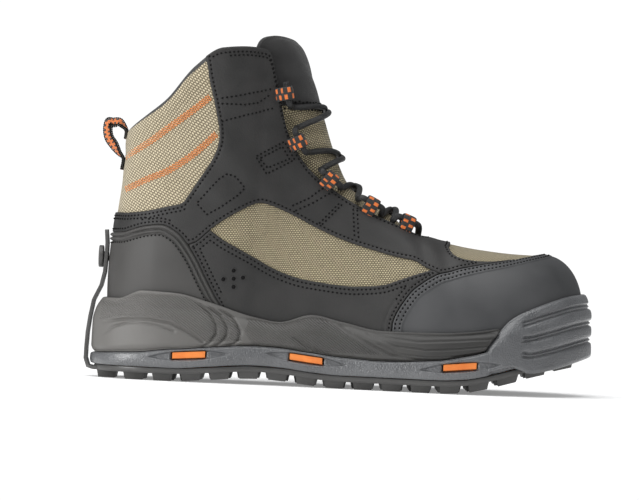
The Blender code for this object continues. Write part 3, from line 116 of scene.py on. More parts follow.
# Sole edge from heel to toe: along is a share of the sole's length, side a share of the
# ball's width measured from the centre line
LATERAL_EDGE = [
    # along, side
    (0.000, 0.000),
    (0.018, 0.190),
    (0.065, 0.305),
    (0.150, 0.370),
    (0.270, 0.382),
    (0.400, 0.385),
    (0.520, 0.420),
    (0.620, 0.470),
    (0.710, 0.503),
    (0.800, 0.490),
    (0.880, 0.420),
    (0.945, 0.290),
    (0.985, 0.120),
    (1.000, -0.050),
]
MEDIAL_EDGE = [
    # along, side
    (0.000, 0.000),
    (0.018, 0.180),
    (0.065, 0.290),
    (0.150, 0.348),
    (0.270, 0.335),
    (0.400, 0.322),
    (0.520, 0.365),
    (0.620, 0.435),
    (0.710, 0.485),
    (0.800, 0.497),
    (0.880, 0.462),
    (0.945, 0.375),
    (0.985, 0.235),
    (1.000, 0.050),
]
# Heights along the sole: rise is a share of the toe spring, chassis and floor are
# heights above the chassis's underside, rim is the midsole's top edge as a share of
# the boot's height
SOLE_ROWS = [
    # along, rise, chassis, floor, rim
    (0.000, 0.00, 0.0070, 0.0155, 0.239),
    (0.045, 0.00, 0.0080, 0.0155, 0.240),
    (0.100, 0.00, 0.0090, 0.0155, 0.266),
    (0.170, 0.00, 0.0116, 0.0155, 0.263),
    (0.240, 0.08, 0.0120, 0.0152, 0.240),
    (0.330, 0.17, 0.0120, 0.0150, 0.200),
    (0.375, 0.15, 0.0120, 0.0150, 0.190),
    (0.440, 0.05, 0.0120, 0.0148, 0.214),
    (0.500, 0.00, 0.0112, 0.0142, 0.197),
    (0.580, 0.00, 0.0100, 0.0135, 0.176),
    (0.690, 0.00, 0.0120, 0.0152, 0.178),
    (0.745, 0.05, 0.0142, 0.0178, 0.184),
    (0.800, 0.22, 0.0150, 0.0180, 0.196),
    (0.864, 0.48, 0.0130, 0.0164, 0.230),
    (1.000, 1.00, 0.0080, 0.0114, 0.290),
]
# Toe bumper from its rear end to the toe: top is its upper edge as a share of the boot's
# height, drop how far its lip hangs below the chassis
BUMPER_ROWS = [
    # along, top, drop
    (0.780, 0.128, 0.0000),
    (0.797, 0.165, 0.0000),
    (0.812, 0.190, 0.0000),
    (0.830, 0.220, 0.0000),
    (0.850, 0.240, 0.0022),
    (0.880, 0.260, 0.0058),
    (0.920, 0.282, 0.0066),
    (0.970, 0.303, 0.0060),
    (1.000, 0.308, 0.0056),
]
BUMPER_GROOVES = (0.285, 0.550, 0.815)
# Windows of the chassis, along the sole; each side has all of them
WINDOWS = (0.2003, 0.4308, 0.7333)
# Ribs of the last: foot is a share of the way from heel to toe along the feather line,
# along and up are where the rib ends, gap its half width there and ridge the sideways
# shift of the ridge, both as shares of the ball's width; swell bows the rib outwards, as
# a share of the ball's width too, and dome closes it over, from 0 at the collar to 1
RIBS = [
    # foot, along, up, gap, ridge, swell, dome
    (0.000, 0.057, 0.748, 0.000, 0.000, 0.090, 0.00),
    (0.050, 0.066, 0.759, 0.125, 0.000, 0.085, 0.00),
    (0.100, 0.091, 0.787, 0.232, 0.000, 0.080, 0.00),
    (0.160, 0.132, 0.835, 0.315, 0.000, 0.075, 0.00),
    (0.230, 0.186, 0.932, 0.362, 0.000, 0.070, 0.00),
    (0.280, 0.242, 0.992, 0.375, 0.000, 0.070, 0.00),
    (0.316, 0.292, 0.999, 0.344, 0.000, 0.070, 0.05),
    (0.338, 0.329, 0.993, 0.286, 0.000, 0.062, 0.10),
    (0.354, 0.351, 0.892, 0.268, 0.000, 0.054, 0.15),
    (0.376, 0.371, 0.767, 0.255, 0.000, 0.045, 0.20),
    (0.418, 0.412, 0.658, 0.232, 0.000, 0.040, 0.30),
    (0.494, 0.495, 0.561, 0.200, 0.000, 0.040, 0.50),
    (0.570, 0.582, 0.496, 0.170, 0.000, 0.040, 0.68),
    (0.630, 0.648, 0.458, 0.125, 0.000, 0.040, 0.85),
    (0.668, 0.682, 0.448, 0.000, 0.005, 0.040, 1.00),
    (0.742, 0.764, 0.429, 0.000, 0.013, 0.040, 1.00),
    (0.822, 0.833, 0.420, 0.000, 0.027, 0.040, 1.00),
    (0.908, 0.877, 0.418, 0.000, 0.036, 0.045, 1.00),
    (1.000, 0.902, 0.414, 0.000, 0.045, 0.050, 1.00),
]
LAST_RIB = len(RIBS) - 1
THROAT_BASE = 14


def smooth_column(knots, values, flat_ends=False):
    """A curve through a table's column that bends smoothly and never overshoots a row."""
    knots, values = np.asarray(knots, float), np.asarray(values, float)
    step = np.diff(knots)
    slope = np.diff(values) / step
    tangent = np.zeros_like(values)
    for i in range(1, len(values) - 1):
        if slope[i - 1] * slope[i] > 0:
            before, after = 2 * step[i] + step[i - 1], step[i] + 2 * step[i - 1]
            tangent[i] = (before + after) / (before / slope[i - 1] + after / slope[i])
    if not flat_ends:
        tangent[0], tangent[-1] = slope[0], slope[-1]

    def at(x):
        x = np.clip(x, knots[0], knots[-1])
        i = np.clip(np.searchsorted(knots, x) - 1, 0, len(step) - 1)
        u = (x - knots[i]) / step[i]
        start = (1 + 2 * u) * (1 - u) ** 2 * values[i] + u * (1 - u) ** 2 * step[i] * tangent[i]
        end = u * u * (3 - 2 * u) * values[i + 1] + u * u * (u - 1) * step[i] * tangent[i + 1]
        return start + end

    return at



def along_x(along):
    return HEEL_X + np.asarray(along) * SOLE_LENGTH



def closed_edge(samples=24):
    """The sole's whole edge as one round-cornered loop, heel to toe and back."""
    lateral = [(a, -s) for a, s in LATERAL_EDGE]
    medial = list(reversed(MEDIAL_EDGE[1:-1]))
    knots = np.array([(along_x(a), s * BALL_WIDTH) for a, s in lateral + medial])
    count = len(knots)
    points = []
    for i in range(count):
        p0, p1, p2, p3 = (knots[(i + k) % count] for k in (-1, 0, 1, 2))
        for j in range(samples):
            u = j / samples
            points.append(
                0.5
                * (
                    2 * p1
                    + (p2 - p0) * u
                    + (2 * p0 - 5 * p1 + 4 * p2 - p3) * u * u
                    + (3 * p1 - p0 - 3 * p2 + p3) * u**3
                )
            )
    return np.array(points), (len(lateral) - 1) * samples



def half_edges():
    """For each side, the edge from heel to toe with its length share and outward normal."""
    loop, toe = closed_edge()
    ahead = np.roll(loop, -1, axis=0) - np.roll(loop, 1, axis=0)
    normal = np.stack([ahead[:, 1], -ahead[:, 0]], axis=1)
    normal /= np.linalg.norm(normal, axis=1)[:, None]
    normal *= np.sign(np.sum(normal * (loop - loop.mean(0)), axis=1))[:, None]
    order = {
        LATERAL: np.arange(0, toe + 1),
        MEDIAL: np.append(np.arange(len(loop), toe - 1, -1) % len(loop), []).astype(int),
    }
    halves = {}
    for side, index in order.items():
        points = loop[index]
        length = np.append(0, np.cumsum(np.linalg.norm(np.diff(points, axis=0), axis=1)))
        halves[side] = (length / length[-1], points, normal[index])
    return halves

EDGE = half_edges()
SOLE_COLUMNS = [smooth_column([r[0] for r in SOLE_ROWS], [r[k] for r in SOLE_ROWS]) for k in range(1, 5)]
EVEN_RIB_COLUMNS = (1, 2, 4, 5, 6)
RIB_COLUMNS = [
    smooth_column(range(len(RIBS)), [r[k] for r in RIBS], flat_ends=k in EVEN_RIB_COLUMNS)
    for k in range(7)
]


def edge_point(side, share, grow):
    """Plan point on the sole's edge, moved outwards by grow, and its outward normal."""
    shares, points, normals = EDGE[side]
    p = np.stack([np.interp(share, shares, points[:, k]) for k in (0, 1)], axis=-1)
    n = np.stack([np.interp(share, shares, normals[:, k]) for k in (0, 1)], axis=-1)
    n /= np.linalg.norm(n, axis=-1)[..., None]
    return p + n * np.asarray(grow)[..., None], n



def sole_value(column, x):
    return SOLE_COLUMNS[column]((x - HEEL_X) / SOLE_LENGTH)



def chassis_bottom(x):
    return FLOOR_TO_CHASSIS + sole_value(0, x) * TOE_SPRING



def chassis_top(x):
    return chassis_bottom(x) + sole_value(1, x)



def foot_floor(x):
    return chassis_bottom(x) + sole_value(2, x)



def rim_height(x):
    return sole_value(3, x) * BOOT_HEIGHT



def rib_point(side, rib, climb):
    """Point of the last's outer face: rib counts along RIBS, climb goes from 0 to 1."""
    rib, climb = np.broadcast_arrays(np.asarray(rib, float), np.asarray(climb, float))
    foot, along, up, gap, ridge, swell, dome = (column(rib) for column in RIB_COLUMNS)
    heel_share = np.clip(1 - foot / RIBS[3][0], 0, 1)
    inset = FEATHER_INSET + HEEL_INSET * heel_share
    base, outward = edge_point(side, foot, -inset)
    top = np.stack([along_x(along), (ridge + side * gap) * BALL_WIDTH], axis=-1)
    low, high = foot_floor(base[..., 0]), up * BOOT_HEIGHT
    across = base - top
    rise = high - low
    lean = 0.35 * (1 - dome)
    knee = base - across * lean[..., None] + outward * (swell * BALL_WIDTH)[..., None]
    shoulder = top + across * (lean + 0.62 * dome)[..., None]
    knee_z = low + rise * (0.35 + 0.27 * dome)
    shoulder_z = high - rise * lean
    c = climb[..., None]
    plan = (1 - c) ** 3 * base + 3 * c * (1 - c) ** 2 * knee + 3 * c * c * (1 - c) * shoulder + c**3 * top
    c = climb
    z = (1 - c) ** 3 * low + 3 * c * (1 - c) ** 2 * knee_z + 3 * c * c * (1 - c) * shoulder_z + c**3 * high
    return np.concatenate([plan, z[..., None]], axis=-1)



def form_normal(side, rib, climb):
    """Outward normal of the last at a rib and climb, from its own small steps."""
    step = 1e-3
    climb = np.where(rib > LAST_RIB - 0.5, np.minimum(climb, 0.97), climb)
    ahead = rib_point(side, np.minimum(rib + step, LAST_RIB), climb)
    ahead = ahead - rib_point(side, np.maximum(rib - step, 0), climb)
    higher = rib_point(side, rib, np.minimum(climb + step, 1))
    higher = higher - rib_point(side, rib, np.maximum(climb - step, 0))
    normal = np.cross(ahead, higher) * -side
    return normal / np.linalg.norm(normal, axis=-1)[..., None]



def form_point(side, rib, climb, offset):
    """Point off the last's face; on heel, toe and ridge both sides share one normal."""
    rib, climb = np.broadcast_arrays(np.asarray(rib, float), np.asarray(climb, float))
    normal = form_normal(side, rib, climb)
    shared = (rib <= 0) | (rib >= LAST_RIB) | ((rib >= THROAT_BASE) & (climb >= 1))
    both = normal + form_normal(-side, rib, climb)
    both /= np.maximum(np.linalg.norm(both, axis=-1), 1e-9)[..., None]
    normal = np.where(shared[..., None], both, normal)
    return rib_point(side, rib, climb) + normal * np.asarray(offset)[..., None]



def rib_at_share(share):
    """The rib, a number along RIBS, whose foot is at a share of the way from heel to toe."""
    dense = np.linspace(0, LAST_RIB, 40 * LAST_RIB + 1)
    return np.interp(share, RIB_COLUMNS[0](dense), dense)



def climb_at_height(side, rib, height):
    """How far up each rib a height lies."""
    dense = np.linspace(0, 1, 201)
    ribs, heights = np.broadcast_arrays(np.asarray(rib, float), np.asarray(height, float))
    lifts = rib_point(side, ribs[:, None], dense[None, :])[..., 2]
    return np.array([np.interp(h, lift, dense) for h, lift in zip(heights, lifts)])



def ease(value, start, end):
    """Smooth step from 0 at start to 1 at end."""
    u = np.clip((value - start) / (end - start), 0, 1)
    return u * u * (3 - 2 * u)



def upper_wall(rib, climb):
    """Wall of the upper: one layer below, padded at the collar."""
    pad = ease(climb, 0.60, 0.80) * ease(rib, 6.6, 5.4)
    return UPPER_WALL + (COLLAR_WALL - UPPER_WALL) * pad



def toe_pocket(x):
    """How far the outsole draws in behind the bumper's lip, from ball to toe."""
    return ease(x, float(along_x(0.80)), float(along_x(0.87)))



def outsole_edge(x):
    return -OUTSOLE_INSET - (BUMPER_LIP + LIP_CLEARANCE - OUTSOLE_INSET) * toe_pocket(x)

BUMPER_TOP, BUMPER_DROP = (
    smooth_column([r[0] for r in BUMPER_ROWS], [r[k] for r in BUMPER_ROWS]) for k in (1, 2)
)


def edge_frame(side, along):
    """Where a length share meets the sole's edge: point, forward direction and outward one."""
    shares, points, normals = EDGE[side]
    x = float(along_x(along))
    keep = slice(4, len(points) - 4)
    share = np.interp(x, points[keep, 0], shares[keep])
    point, outward = edge_point(side, np.array([share]), 0.0)
    forward = np.array([outward[0][1], -outward[0][0]]) * -side
    return point[0], forward, outward[0]



def window_level(side, along):
    return chassis_bottom(edge_frame(side, along)[0][0])



def midsole_rim(x):
    """Height of the midsole's top edge, which drops out of sight behind the bumper."""
    hidden = ease(x, float(along_x(0.803)), float(along_x(0.843)))
    return rim_height(x) * (1 - hidden) + (foot_floor(x) + 0.0012) * hidden



def edge_width(side, x):
    shares, points, _ = EDGE[side]
    keep = slice(2, len(points) - 2)
    return float(np.interp(x, points[keep, 0], points[keep, 1]))



def heel_face(height):
    """X of what the strap lies on at the back of the heel, at a height."""
    rim = float(midsole_rim(np.array([HEEL_X]))[0])
    climb = climb_at_height(LATERAL, np.array([0.0]), np.array([height]))
    counter = form_point(LATERAL, np.array([0.0]), climb, np.array([PANEL + GAP]))[0][0]
    if height > rim + 0.004:
        return float(counter)
    shares = (0.0, 0.38, 0.62, 0.82, 0.94, 1.0)
    grows = (0.0008, 0.0002, -0.0008, -0.0026, -0.0050, -0.0072)
    base = float(chassis_top(HEEL_X))
    share = (height - base) / (rim - base)
    return HEEL_X - float(np.interp(share, shares, grows))

TOE_CAP_EDGE = [
    # along, up
    (0.599, 0.080),
    (0.599, 0.185),
    (0.602, 0.213),
    (0.611, 0.243),
    (0.624, 0.274),
    (0.637, 0.299),
    (0.653, 0.318),
    (0.672, 0.337),
    (0.692, 0.350),
    (0.751, 0.373),
    (0.811, 0.390),
    (0.870, 0.409),
    (0.920, 0.424),
]
COUNTER_EDGE = [
    # along, up
    (0.266, 0.080),
    (0.262, 0.210),
    (0.245, 0.262),
    (0.228, 0.308),
    (0.205, 0.372),
    (0.180, 0.424),
    (0.160, 0.448),
    (0.140, 0.461),
    (0.112, 0.458),
    (0.088, 0.449),
    (0.058, 0.432),
    (-0.030, 0.424),
]
THROAT_LINE = [
    # along, up
    (0.660, 0.350),
    (0.668, 0.402),
    (0.705, 0.424),
    (0.735, 0.480),
    (0.560, 0.620),
    (0.470, 0.760),
    (0.420, 0.950),
    (0.390, 1.060),
    (0.290, 1.060),
]
ANKLE_REAR = [
    # along, up
    (0.209, 0.965),
    (0.218, 0.895),
    (0.232, 0.815),
    (0.242, 0.740),
    (0.239, 0.694),
    (0.226, 0.648),
    (0.204, 0.595),
    (0.185, 0.549),
    (0.174, 0.527),
    (0.146, 0.516),
    (0.106, 0.501),
    (0.068, 0.493),
    (-0.030, 0.500),
]
ANKLE_LOWER = [
    # along, up
    (-0.030, 0.432),
    (0.058, 0.440),
    (0.088, 0.457),
    (0.112, 0.466),
    (0.140, 0.470),
    (0.163, 0.466),
    (0.186, 0.450),
    (0.206, 0.424),
    (0.232, 0.453),
    (0.257, 0.482),
    (0.286, 0.510),
    (0.318, 0.535),
    (0.340, 0.536),
    (0.386, 0.511),
    (0.448, 0.467),
    (0.509, 0.432),
    (0.580, 0.403),
    (0.635, 0.386),
    (0.660, 0.350),
]
MUDGUARD_TOP = [
    # along, up
    (0.232, 0.452),
    (0.259, 0.424),
    (0.290, 0.400),
    (0.320, 0.377),
    (0.351, 0.352),
    (0.382, 0.333),
    (0.412, 0.320),
    (0.453, 0.311),
    (0.513, 0.303),
    (0.573, 0.310),
    (0.602, 0.324),
    (0.632, 0.341),
]
TONGUE_ROWS = [
    # rib, along, up: the ridge of the tongue in front of each rib's end
    (6.55, 0.380, 1.036),
    (7.00, 0.396, 1.005),
    (8.00, 0.423, 0.901),
    (9.00, 0.443, 0.806),
    (10.0, 0.470, 0.689),
    (11.0, 0.505, 0.592),
    (12.0, 0.590, 0.519),
    (12.6, 0.618, 0.482),
    (13.0, 0.640, 0.453),
]
TONGUE_TUCK = 0.0100
TONGUE_UNDER_VAMP = [
    # rib, climb at the tongue's edge
    (13.5, 0.70),
    (14.0, 0.76),
    (14.5, 0.84),
]
ACROSS = 12


def throat_frame(side, rib):
    """Edge of the throat at a rib: point, run along the edge, inward direction and normal."""
    step = 0.05
    here = rib_point(side, rib, 1.0)
    run = rib_point(side, min(rib + step, LAST_RIB), 1.0) - rib_point(side, rib - step, 1.0)
    run = run / np.linalg.norm(run)
    normal = form_point(side, rib, 1.0, 1.0) - here
    normal = normal / np.linalg.norm(normal)
    inward = np.cross(normal, run) * -side
    return here, run, inward / np.linalg.norm(inward), normal

DENSE_RIBS = np.linspace(4, 15, 221)
DENSE_CLIMBS = np.linspace(0.5, 1, 61)
DENSE_FORM = {
    side: rib_point(side, DENSE_RIBS[:, None], DENSE_CLIMBS[None, :]) for side in (LATERAL, MEDIAL)
}


def walk_in(side, rib, distance):
    """Rib and climb of the place that far behind the throat's edge on the last's face."""
    here, _, inward, _ = throat_frame(side, rib)
    goal = here - inward * distance
    apart = np.linalg.norm(DENSE_FORM[side] - goal, axis=-1)
    i, j = np.unravel_index(np.argmin(apart), apart.shape)
    rib, climb = DENSE_RIBS[i], DENSE_CLIMBS[j]
    step = 0.01
    for _ in range(3):
        place = rib_point(side, rib, climb)
        by_rib = (rib_point(side, rib + step, climb) - place) / step
        by_climb = (place - rib_point(side, rib, climb - step)) / step
        moves = np.linalg.lstsq(np.stack([by_rib, by_climb], axis=1), goal - place, rcond=None)[0]
        rib, climb = rib + float(np.clip(moves[0], -0.1, 0.1)), climb + float(np.clip(moves[1], -0.02, 0.02))
        climb = min(climb, 1.0)
    return rib, climb



def under_upper(side, rib, climb, clearance):
    below = float(upper_wall(np.array(rib), np.array(climb))) + clearance
    return form_point(side, rib, climb, -below)



def tongue_section(rib, along, up):
    """Section across the throat: tucked edge, under the eyestay, over the ridge and back."""
    ridge = np.array([float(along_x(along)), 0.0, up * BOOT_HEIGHT])
    halves = []
    for side in (LATERAL, MEDIAL):
        _, _, inward, _ = throat_frame(side, rib)
        edge = under_upper(side, rib, 1.0, TONGUE_CLEARANCE)
        tucked = under_upper(side, *walk_in(side, rib, TONGUE_TUCK), 1.6 * TONGUE_CLEARANCE)
        middle = under_upper(side, *walk_in(side, rib, 0.5 * TONGUE_TUCK), 1.3 * TONGUE_CLEARANCE)
        reach = np.linalg.norm(ridge - edge)
        start = edge + inward * reach * 0.42
        flat = ridge + np.array([0.0, side * reach * 0.48, 0.0])
        half = [tucked, middle]
        for k in range(ACROSS // 2 - 1):
            u = k / (ACROSS // 2 - 1)
            half.append(
                (1 - u) ** 3 * edge + 3 * u * (1 - u) ** 2 * start + 3 * u * u * (1 - u) * flat + u**3 * ridge
            )
        halves.append(half)
    return np.array(halves[0] + [ridge] + halves[1][::-1])

TONGUE_CURVES = [smooth_column([r[0] for r in TONGUE_ROWS], [r[k] for r in TONGUE_ROWS]) for k in (1, 2)]
LOOP_ROWS = [
    # rib
    8.25,
    9.45,
    10.55,
    11.50,
    12.45,
]


def loop_axis(side, rib):
    """Middle of a lace loop's tunnel and the frame of the throat there."""
    here, run, inward, normal = throat_frame(side, rib)
    ring = LACE / 2 + LACE_CLEARANCE + LOOP_WALL
    lift = GAP + PANEL + LOOP_SEAT + ring
    return here + normal * lift + inward * (ring * 0.9), run, inward, normal, ring



def throat_surface(rib, share):
    """Tongue's face at a rib, share from 0 at the lateral eyestay to 1 at the medial one."""
    section = tongue_section(rib, float(TONGUE_CURVES[0](rib)), float(TONGUE_CURVES[1](rib)))[2:-2]
    place = share * (len(section) - 1)
    return np.array([np.interp(place, range(len(section)), section[:, k]) for k in range(3)])



def run_per_rib(side, rib):
    step = 0.05
    return np.linalg.norm(rib_point(side, rib + step, 1.0) - rib_point(side, rib - step, 1.0)) / (2 * step)



def lace_over_tongue(from_rib, to_rib, start, end, lift, drop):
    """Points of the lace over the tongue between two rows of loops."""
    leave = from_rib - LOOP_WIDTH / run_per_rib(LATERAL, from_rib)
    arrive = to_rib + LOOP_WIDTH / run_per_rib(LATERAL, to_rib)
    points = []
    for u in (0.10, 0.30, 0.5, 0.70, 0.90):
        rib = leave + (arrive - leave) * (u + drop * 4 * u * (1 - u))
        share = start + (end - start) * u
        here = throat_surface(rib, share)
        across = throat_surface(rib, min(share + 0.03, 1)) - throat_surface(rib, max(share - 0.03, 0))
        along = throat_surface(rib + 0.1, share) - throat_surface(rib - 0.1, share)
        normal = np.cross(across, along)
        normal /= np.linalg.norm(normal)
        if normal[0] < 0:
            normal = -normal
        points.append(here + normal * lift)
    return points



def smooth_route(points, spacing):
    """Points of a smooth curve through the given ones, about a spacing apart."""
    points = np.array(points)
    padded = np.concatenate([[2 * points[0] - points[1]], points, [2 * points[-1] - points[-2]]])
    route = []
    for i in range(1, len(padded) - 2):
        p0, p1, p2, p3 = padded[i - 1 : i + 3]
        steps = max(1, int(round(np.linalg.norm(p2 - p1) / spacing)))
        for j in range(steps):
            u = j / steps
            route.append(
                0.5
                * (
                    2 * p1
                    + (p2 - p0) * u
                    + (2 * p0 - 5 * p1 + 4 * p2 - p3) * u * u
                    + (3 * p1 - p0 - 3 * p2 + p3) * u**3
                )
            )
    return np.array(route + [points[-1]])



def set_camera():
    """Level view of the lateral side from 2.4 m, rolled as the photograph is."""
    roll = math.radians(2.5)
    right = Vector((math.cos(roll), 0, math.sin(roll)))
    up = Vector((-math.sin(roll), 0, math.cos(roll)))
    ahead = Vector((0, 1, 0))
    view = bpy.data.cameras.new("Side view")
    view.lens = 212.4
    view.sensor_width = 36
    camera = bpy.data.objects.new("Side view", view)
    place = Matrix((right, up, -ahead)).transposed().to_4x4()
    place.translation = Vector((-0.0143, -2.4, 0.0863))
    camera.matrix_world = place
    bpy.context.scene.collection.objects.link(camera)
    bpy.context.scene.camera = camera


def soft_box(name, place, aim, size, power):
    light = bpy.data.lights.new(name, "AREA")
    light.shape = "RECTANGLE"
    light.size, light.size_y = size
    light.energy = power
    lamp = bpy.data.objects.new(name, light)
    lamp.location = place
    lamp.rotation_euler = (Vector(aim) - Vector(place)).to_track_quat("-Z", "Y").to_euler()
    bpy.context.scene.collection.objects.link(lamp)


def light_studio():
    sky = bpy.data.worlds.new("Studio")
    sky.use_nodes = True
    tree = sky.node_tree
    dim = tree.nodes["Background"]
    dim.inputs["Color"].default_value = (0.97, 0.985, 1.0, 1)
    dim.inputs["Strength"].default_value = 0.30
    paper = add(tree, "ShaderNodeBackground", {"Color": (1.0, 1.0, 1.0, 1), "Strength": 1.05})
    seen = add(tree, "ShaderNodeLightPath").outputs["Is Camera Ray"]
    both = add(tree, "ShaderNodeMixShader", {0: seen, 1: dim.outputs[0], 2: paper.outputs[0]})
    tree.links.new(both.outputs[0], tree.nodes["World Output"].inputs["Surface"])
    bpy.context.scene.world = sky
    soft_box("Overhead box", (-0.25, -0.35, 1.6), (0, 0, 0.05), (2.0, 1.8), 32)
    soft_box("Toe box", (1.3, -0.7, 0.8), (0.10, 0, 0.06), (0.4, 0.6), 1.5)
    soft_box("Heel box", (-1.25, -1.0, 0.35), (-0.10, 0, 0.05), (0.6, 0.6), 16)


# Shader building


def add(tree, kind, inputs=None, **settings):
    """A shader node with its settings made and its sockets filled or joined."""
    node = tree.nodes.new(kind)
    for key, value in settings.items():
        setattr(node, key, value)
    for key, value in (inputs or {}).items():
        if isinstance(value, bpy.types.NodeSocket):
            tree.links.new(value, node.inputs[key])
        else:
            node.inputs[key].default_value = value
    return node


def new_finish(name, colour, roughness, **sockets):
    """A finish with plain values on the shader's own sockets."""
    finish = bpy.data.materials.new(name)
    finish.use_nodes = True
    tree = finish.node_tree
    shader = tree.nodes["Principled BSDF"]
    shader.inputs["Base Color"].default_value = (*colour, 1)
    shader.inputs["Roughness"].default_value = roughness
    for key, value in sockets.items():
        shader.inputs[key.replace("_", " ")].default_value = value
    finish.diffuse_color = (*colour, 1)
    return finish, tree, shader


def math_of(tree, operation, first, second=0.0):
    return add(tree, "ShaderNodeMath", {0: first, 1: second}, operation=operation).outputs[0]


def grain(tree, scale, detail=2.0, rough=0.5, vector=None):
    """Cloudy grain on the piece's own place, from 0 to 1."""
    if vector is None:
        vector = add(tree, "ShaderNodeTexCoord").outputs["Object"]
    noise = add(tree, "ShaderNodeTexNoise", {"Vector": vector, "Scale": scale, "Detail": detail, "Roughness": rough})
    return noise.outputs["Fac"]


def pebbles(tree, scale, vector=None):
    if vector is None:
        vector = add(tree, "ShaderNodeTexCoord").outputs["Object"]
    cells = add(tree, "ShaderNodeTexVoronoi", {"Vector": vector, "Scale": scale}, feature="SMOOTH_F1")
    return cells.outputs["Distance"]


def raise_relief(tree, shader, heights):
    """Bumps laid one over another: each height from 0 to 1 with its depth in metres."""
    normal = None
    for height, depth in heights:
        bump = add(tree, "ShaderNodeBump", {"Height": height, "Distance": depth, "Strength": 1.0})
        if normal is not None:
            tree.links.new(normal, bump.inputs["Normal"])
        normal = bump.outputs["Normal"]
    tree.links.new(normal, shader.inputs["Normal"])


def tint(tree, shader, factor, low, high, stops=(0.0, 1.0)):
    """Colour between two, driven by a factor."""
    ramp = add(tree, "ShaderNodeMapRange", {0: factor, 1: stops[0], 2: stops[1]})
    mix = add(tree, "ShaderNodeMix", {0: ramp.outputs[0], 6: (*low, 1), 7: (*high, 1)}, data_type="RGBA")
    tree.links.new(mix.outputs[2], shader.inputs["Base Color"])
    return mix


def vary_roughness(tree, shader, factor, low, high):
    ramp = add(tree, "ShaderNodeMapRange", {0: factor, 1: 0.3, 2: 0.7, 3: low, 4: high})
    tree.links.new(ramp.outputs[0], shader.inputs["Roughness"])


def bead_weave(tree, pitch_u, pitch_v, lean=0.0):
    """Rows of woven beads on the UV in metres, each row half a bead along: 1 on a bead, 0 between."""
    uv = add(tree, "ShaderNodeUVMap", uv_map="Cloth")
    axes = add(tree, "ShaderNodeSeparateXYZ", {0: uv.outputs[0]})
    across = math_of(tree, "DIVIDE", axes.outputs[0], pitch_u)
    sloped = math_of(tree, "ADD", axes.outputs[1], math_of(tree, "MULTIPLY", axes.outputs[0], lean))
    down = math_of(tree, "DIVIDE", sloped, pitch_v)
    row = math_of(tree, "FLOOR", down)
    shift = math_of(tree, "MULTIPLY", row, 0.5)
    along = math_of(tree, "FRACT", math_of(tree, "ADD", across, shift))
    inside = math_of(tree, "FRACT", down)
    dx = math_of(tree, "MULTIPLY", math_of(tree, "SUBTRACT", along, 0.5), 2.2)
    dy = math_of(tree, "MULTIPLY", math_of(tree, "SUBTRACT", inside, 0.5), 2.3)
    reach = math_of(tree, "ADD", math_of(tree, "POWER", math_of(tree, "ABSOLUTE", dx), 2.4),
                    math_of(tree, "POWER", math_of(tree, "ABSOLUTE", dy), 2.0))
    bead = add(tree, "ShaderNodeMapRange", {0: reach, 1: 1.05, 2: 0.25}, interpolation_type="SMOOTHSTEP")
    return bead.outputs[0], uv


def khaki_mesh_finish(name="Khaki mesh", across=0.0018, down=0.0012, lean=0.0, dark=(0.105, 0.086, 0.050), light=(0.46, 0.395, 0.25)):
    finish, tree, shader = new_finish(name, (0.3, 0.26, 0.17), 0.85, Sheen_Weight=0.12)
    bead, uv = bead_weave(tree, across, down, lean)
    patches = grain(tree, 520, 2.0)
    lift = math_of(tree, "MULTIPLY", bead, math_of(tree, "ADD", math_of(tree, "MULTIPLY", patches, 0.9), 0.5))
    tint(tree, shader, lift, dark, light, (0.0, 1.0))
    raise_relief(tree, shader, [(bead, 0.00045), (grain(tree, 2600, 1.0), 0.00012)])
    return finish


def black_panel_finish(name="Black panel", colour=(0.009, 0.0087, 0.0083), light=(0.017, 0.016, 0.0155)):
    finish, tree, shader = new_finish(name, colour, 0.62, Coat_Weight=0.03)
    shader.inputs["Coat Roughness"].default_value = 0.4
    clouds = grain(tree, 60, 3.0)
    tint(tree, shader, clouds, colour, light, (0.3, 0.7))
    vary_roughness(tree, shader, clouds, 0.58, 0.68)
    raise_relief(tree, shader, [(grain(tree, 900, 3.0, 0.6), 0.00010), (pebbles(tree, 1100), 0.00006)])
    return finish


def moulded_skin_finish(name, colour, light, roughness):
    """Smooth matt skin of the toe cap and the heel counter."""
    finish, tree, shader = new_finish(name, colour, roughness)
    clouds = grain(tree, 35, 3.0)
    tint(tree, shader, clouds, colour, light, (0.3, 0.7))
    vary_roughness(tree, shader, clouds, roughness - 0.05, roughness + 0.06)
    raise_relief(tree, shader, [(grain(tree, 1500, 2.0), 0.00004)])
    return finish


def pebbled_rubber_finish(name, colour, light, roughness, depth):
    finish, tree, shader = new_finish(name, colour, roughness, Coat_Weight=0.4)
    shader.inputs["Coat Roughness"].default_value = 0.22
    clouds = grain(tree, 45, 3.0)
    tint(tree, shader, clouds, colour, light, (0.3, 0.7))
    vary_roughness(tree, shader, clouds, roughness - 0.04, roughness + 0.08)
    raise_relief(tree, shader, [(pebbles(tree, 1100), depth), (grain(tree, 2200, 2.0), 0.00005)])
    return finish


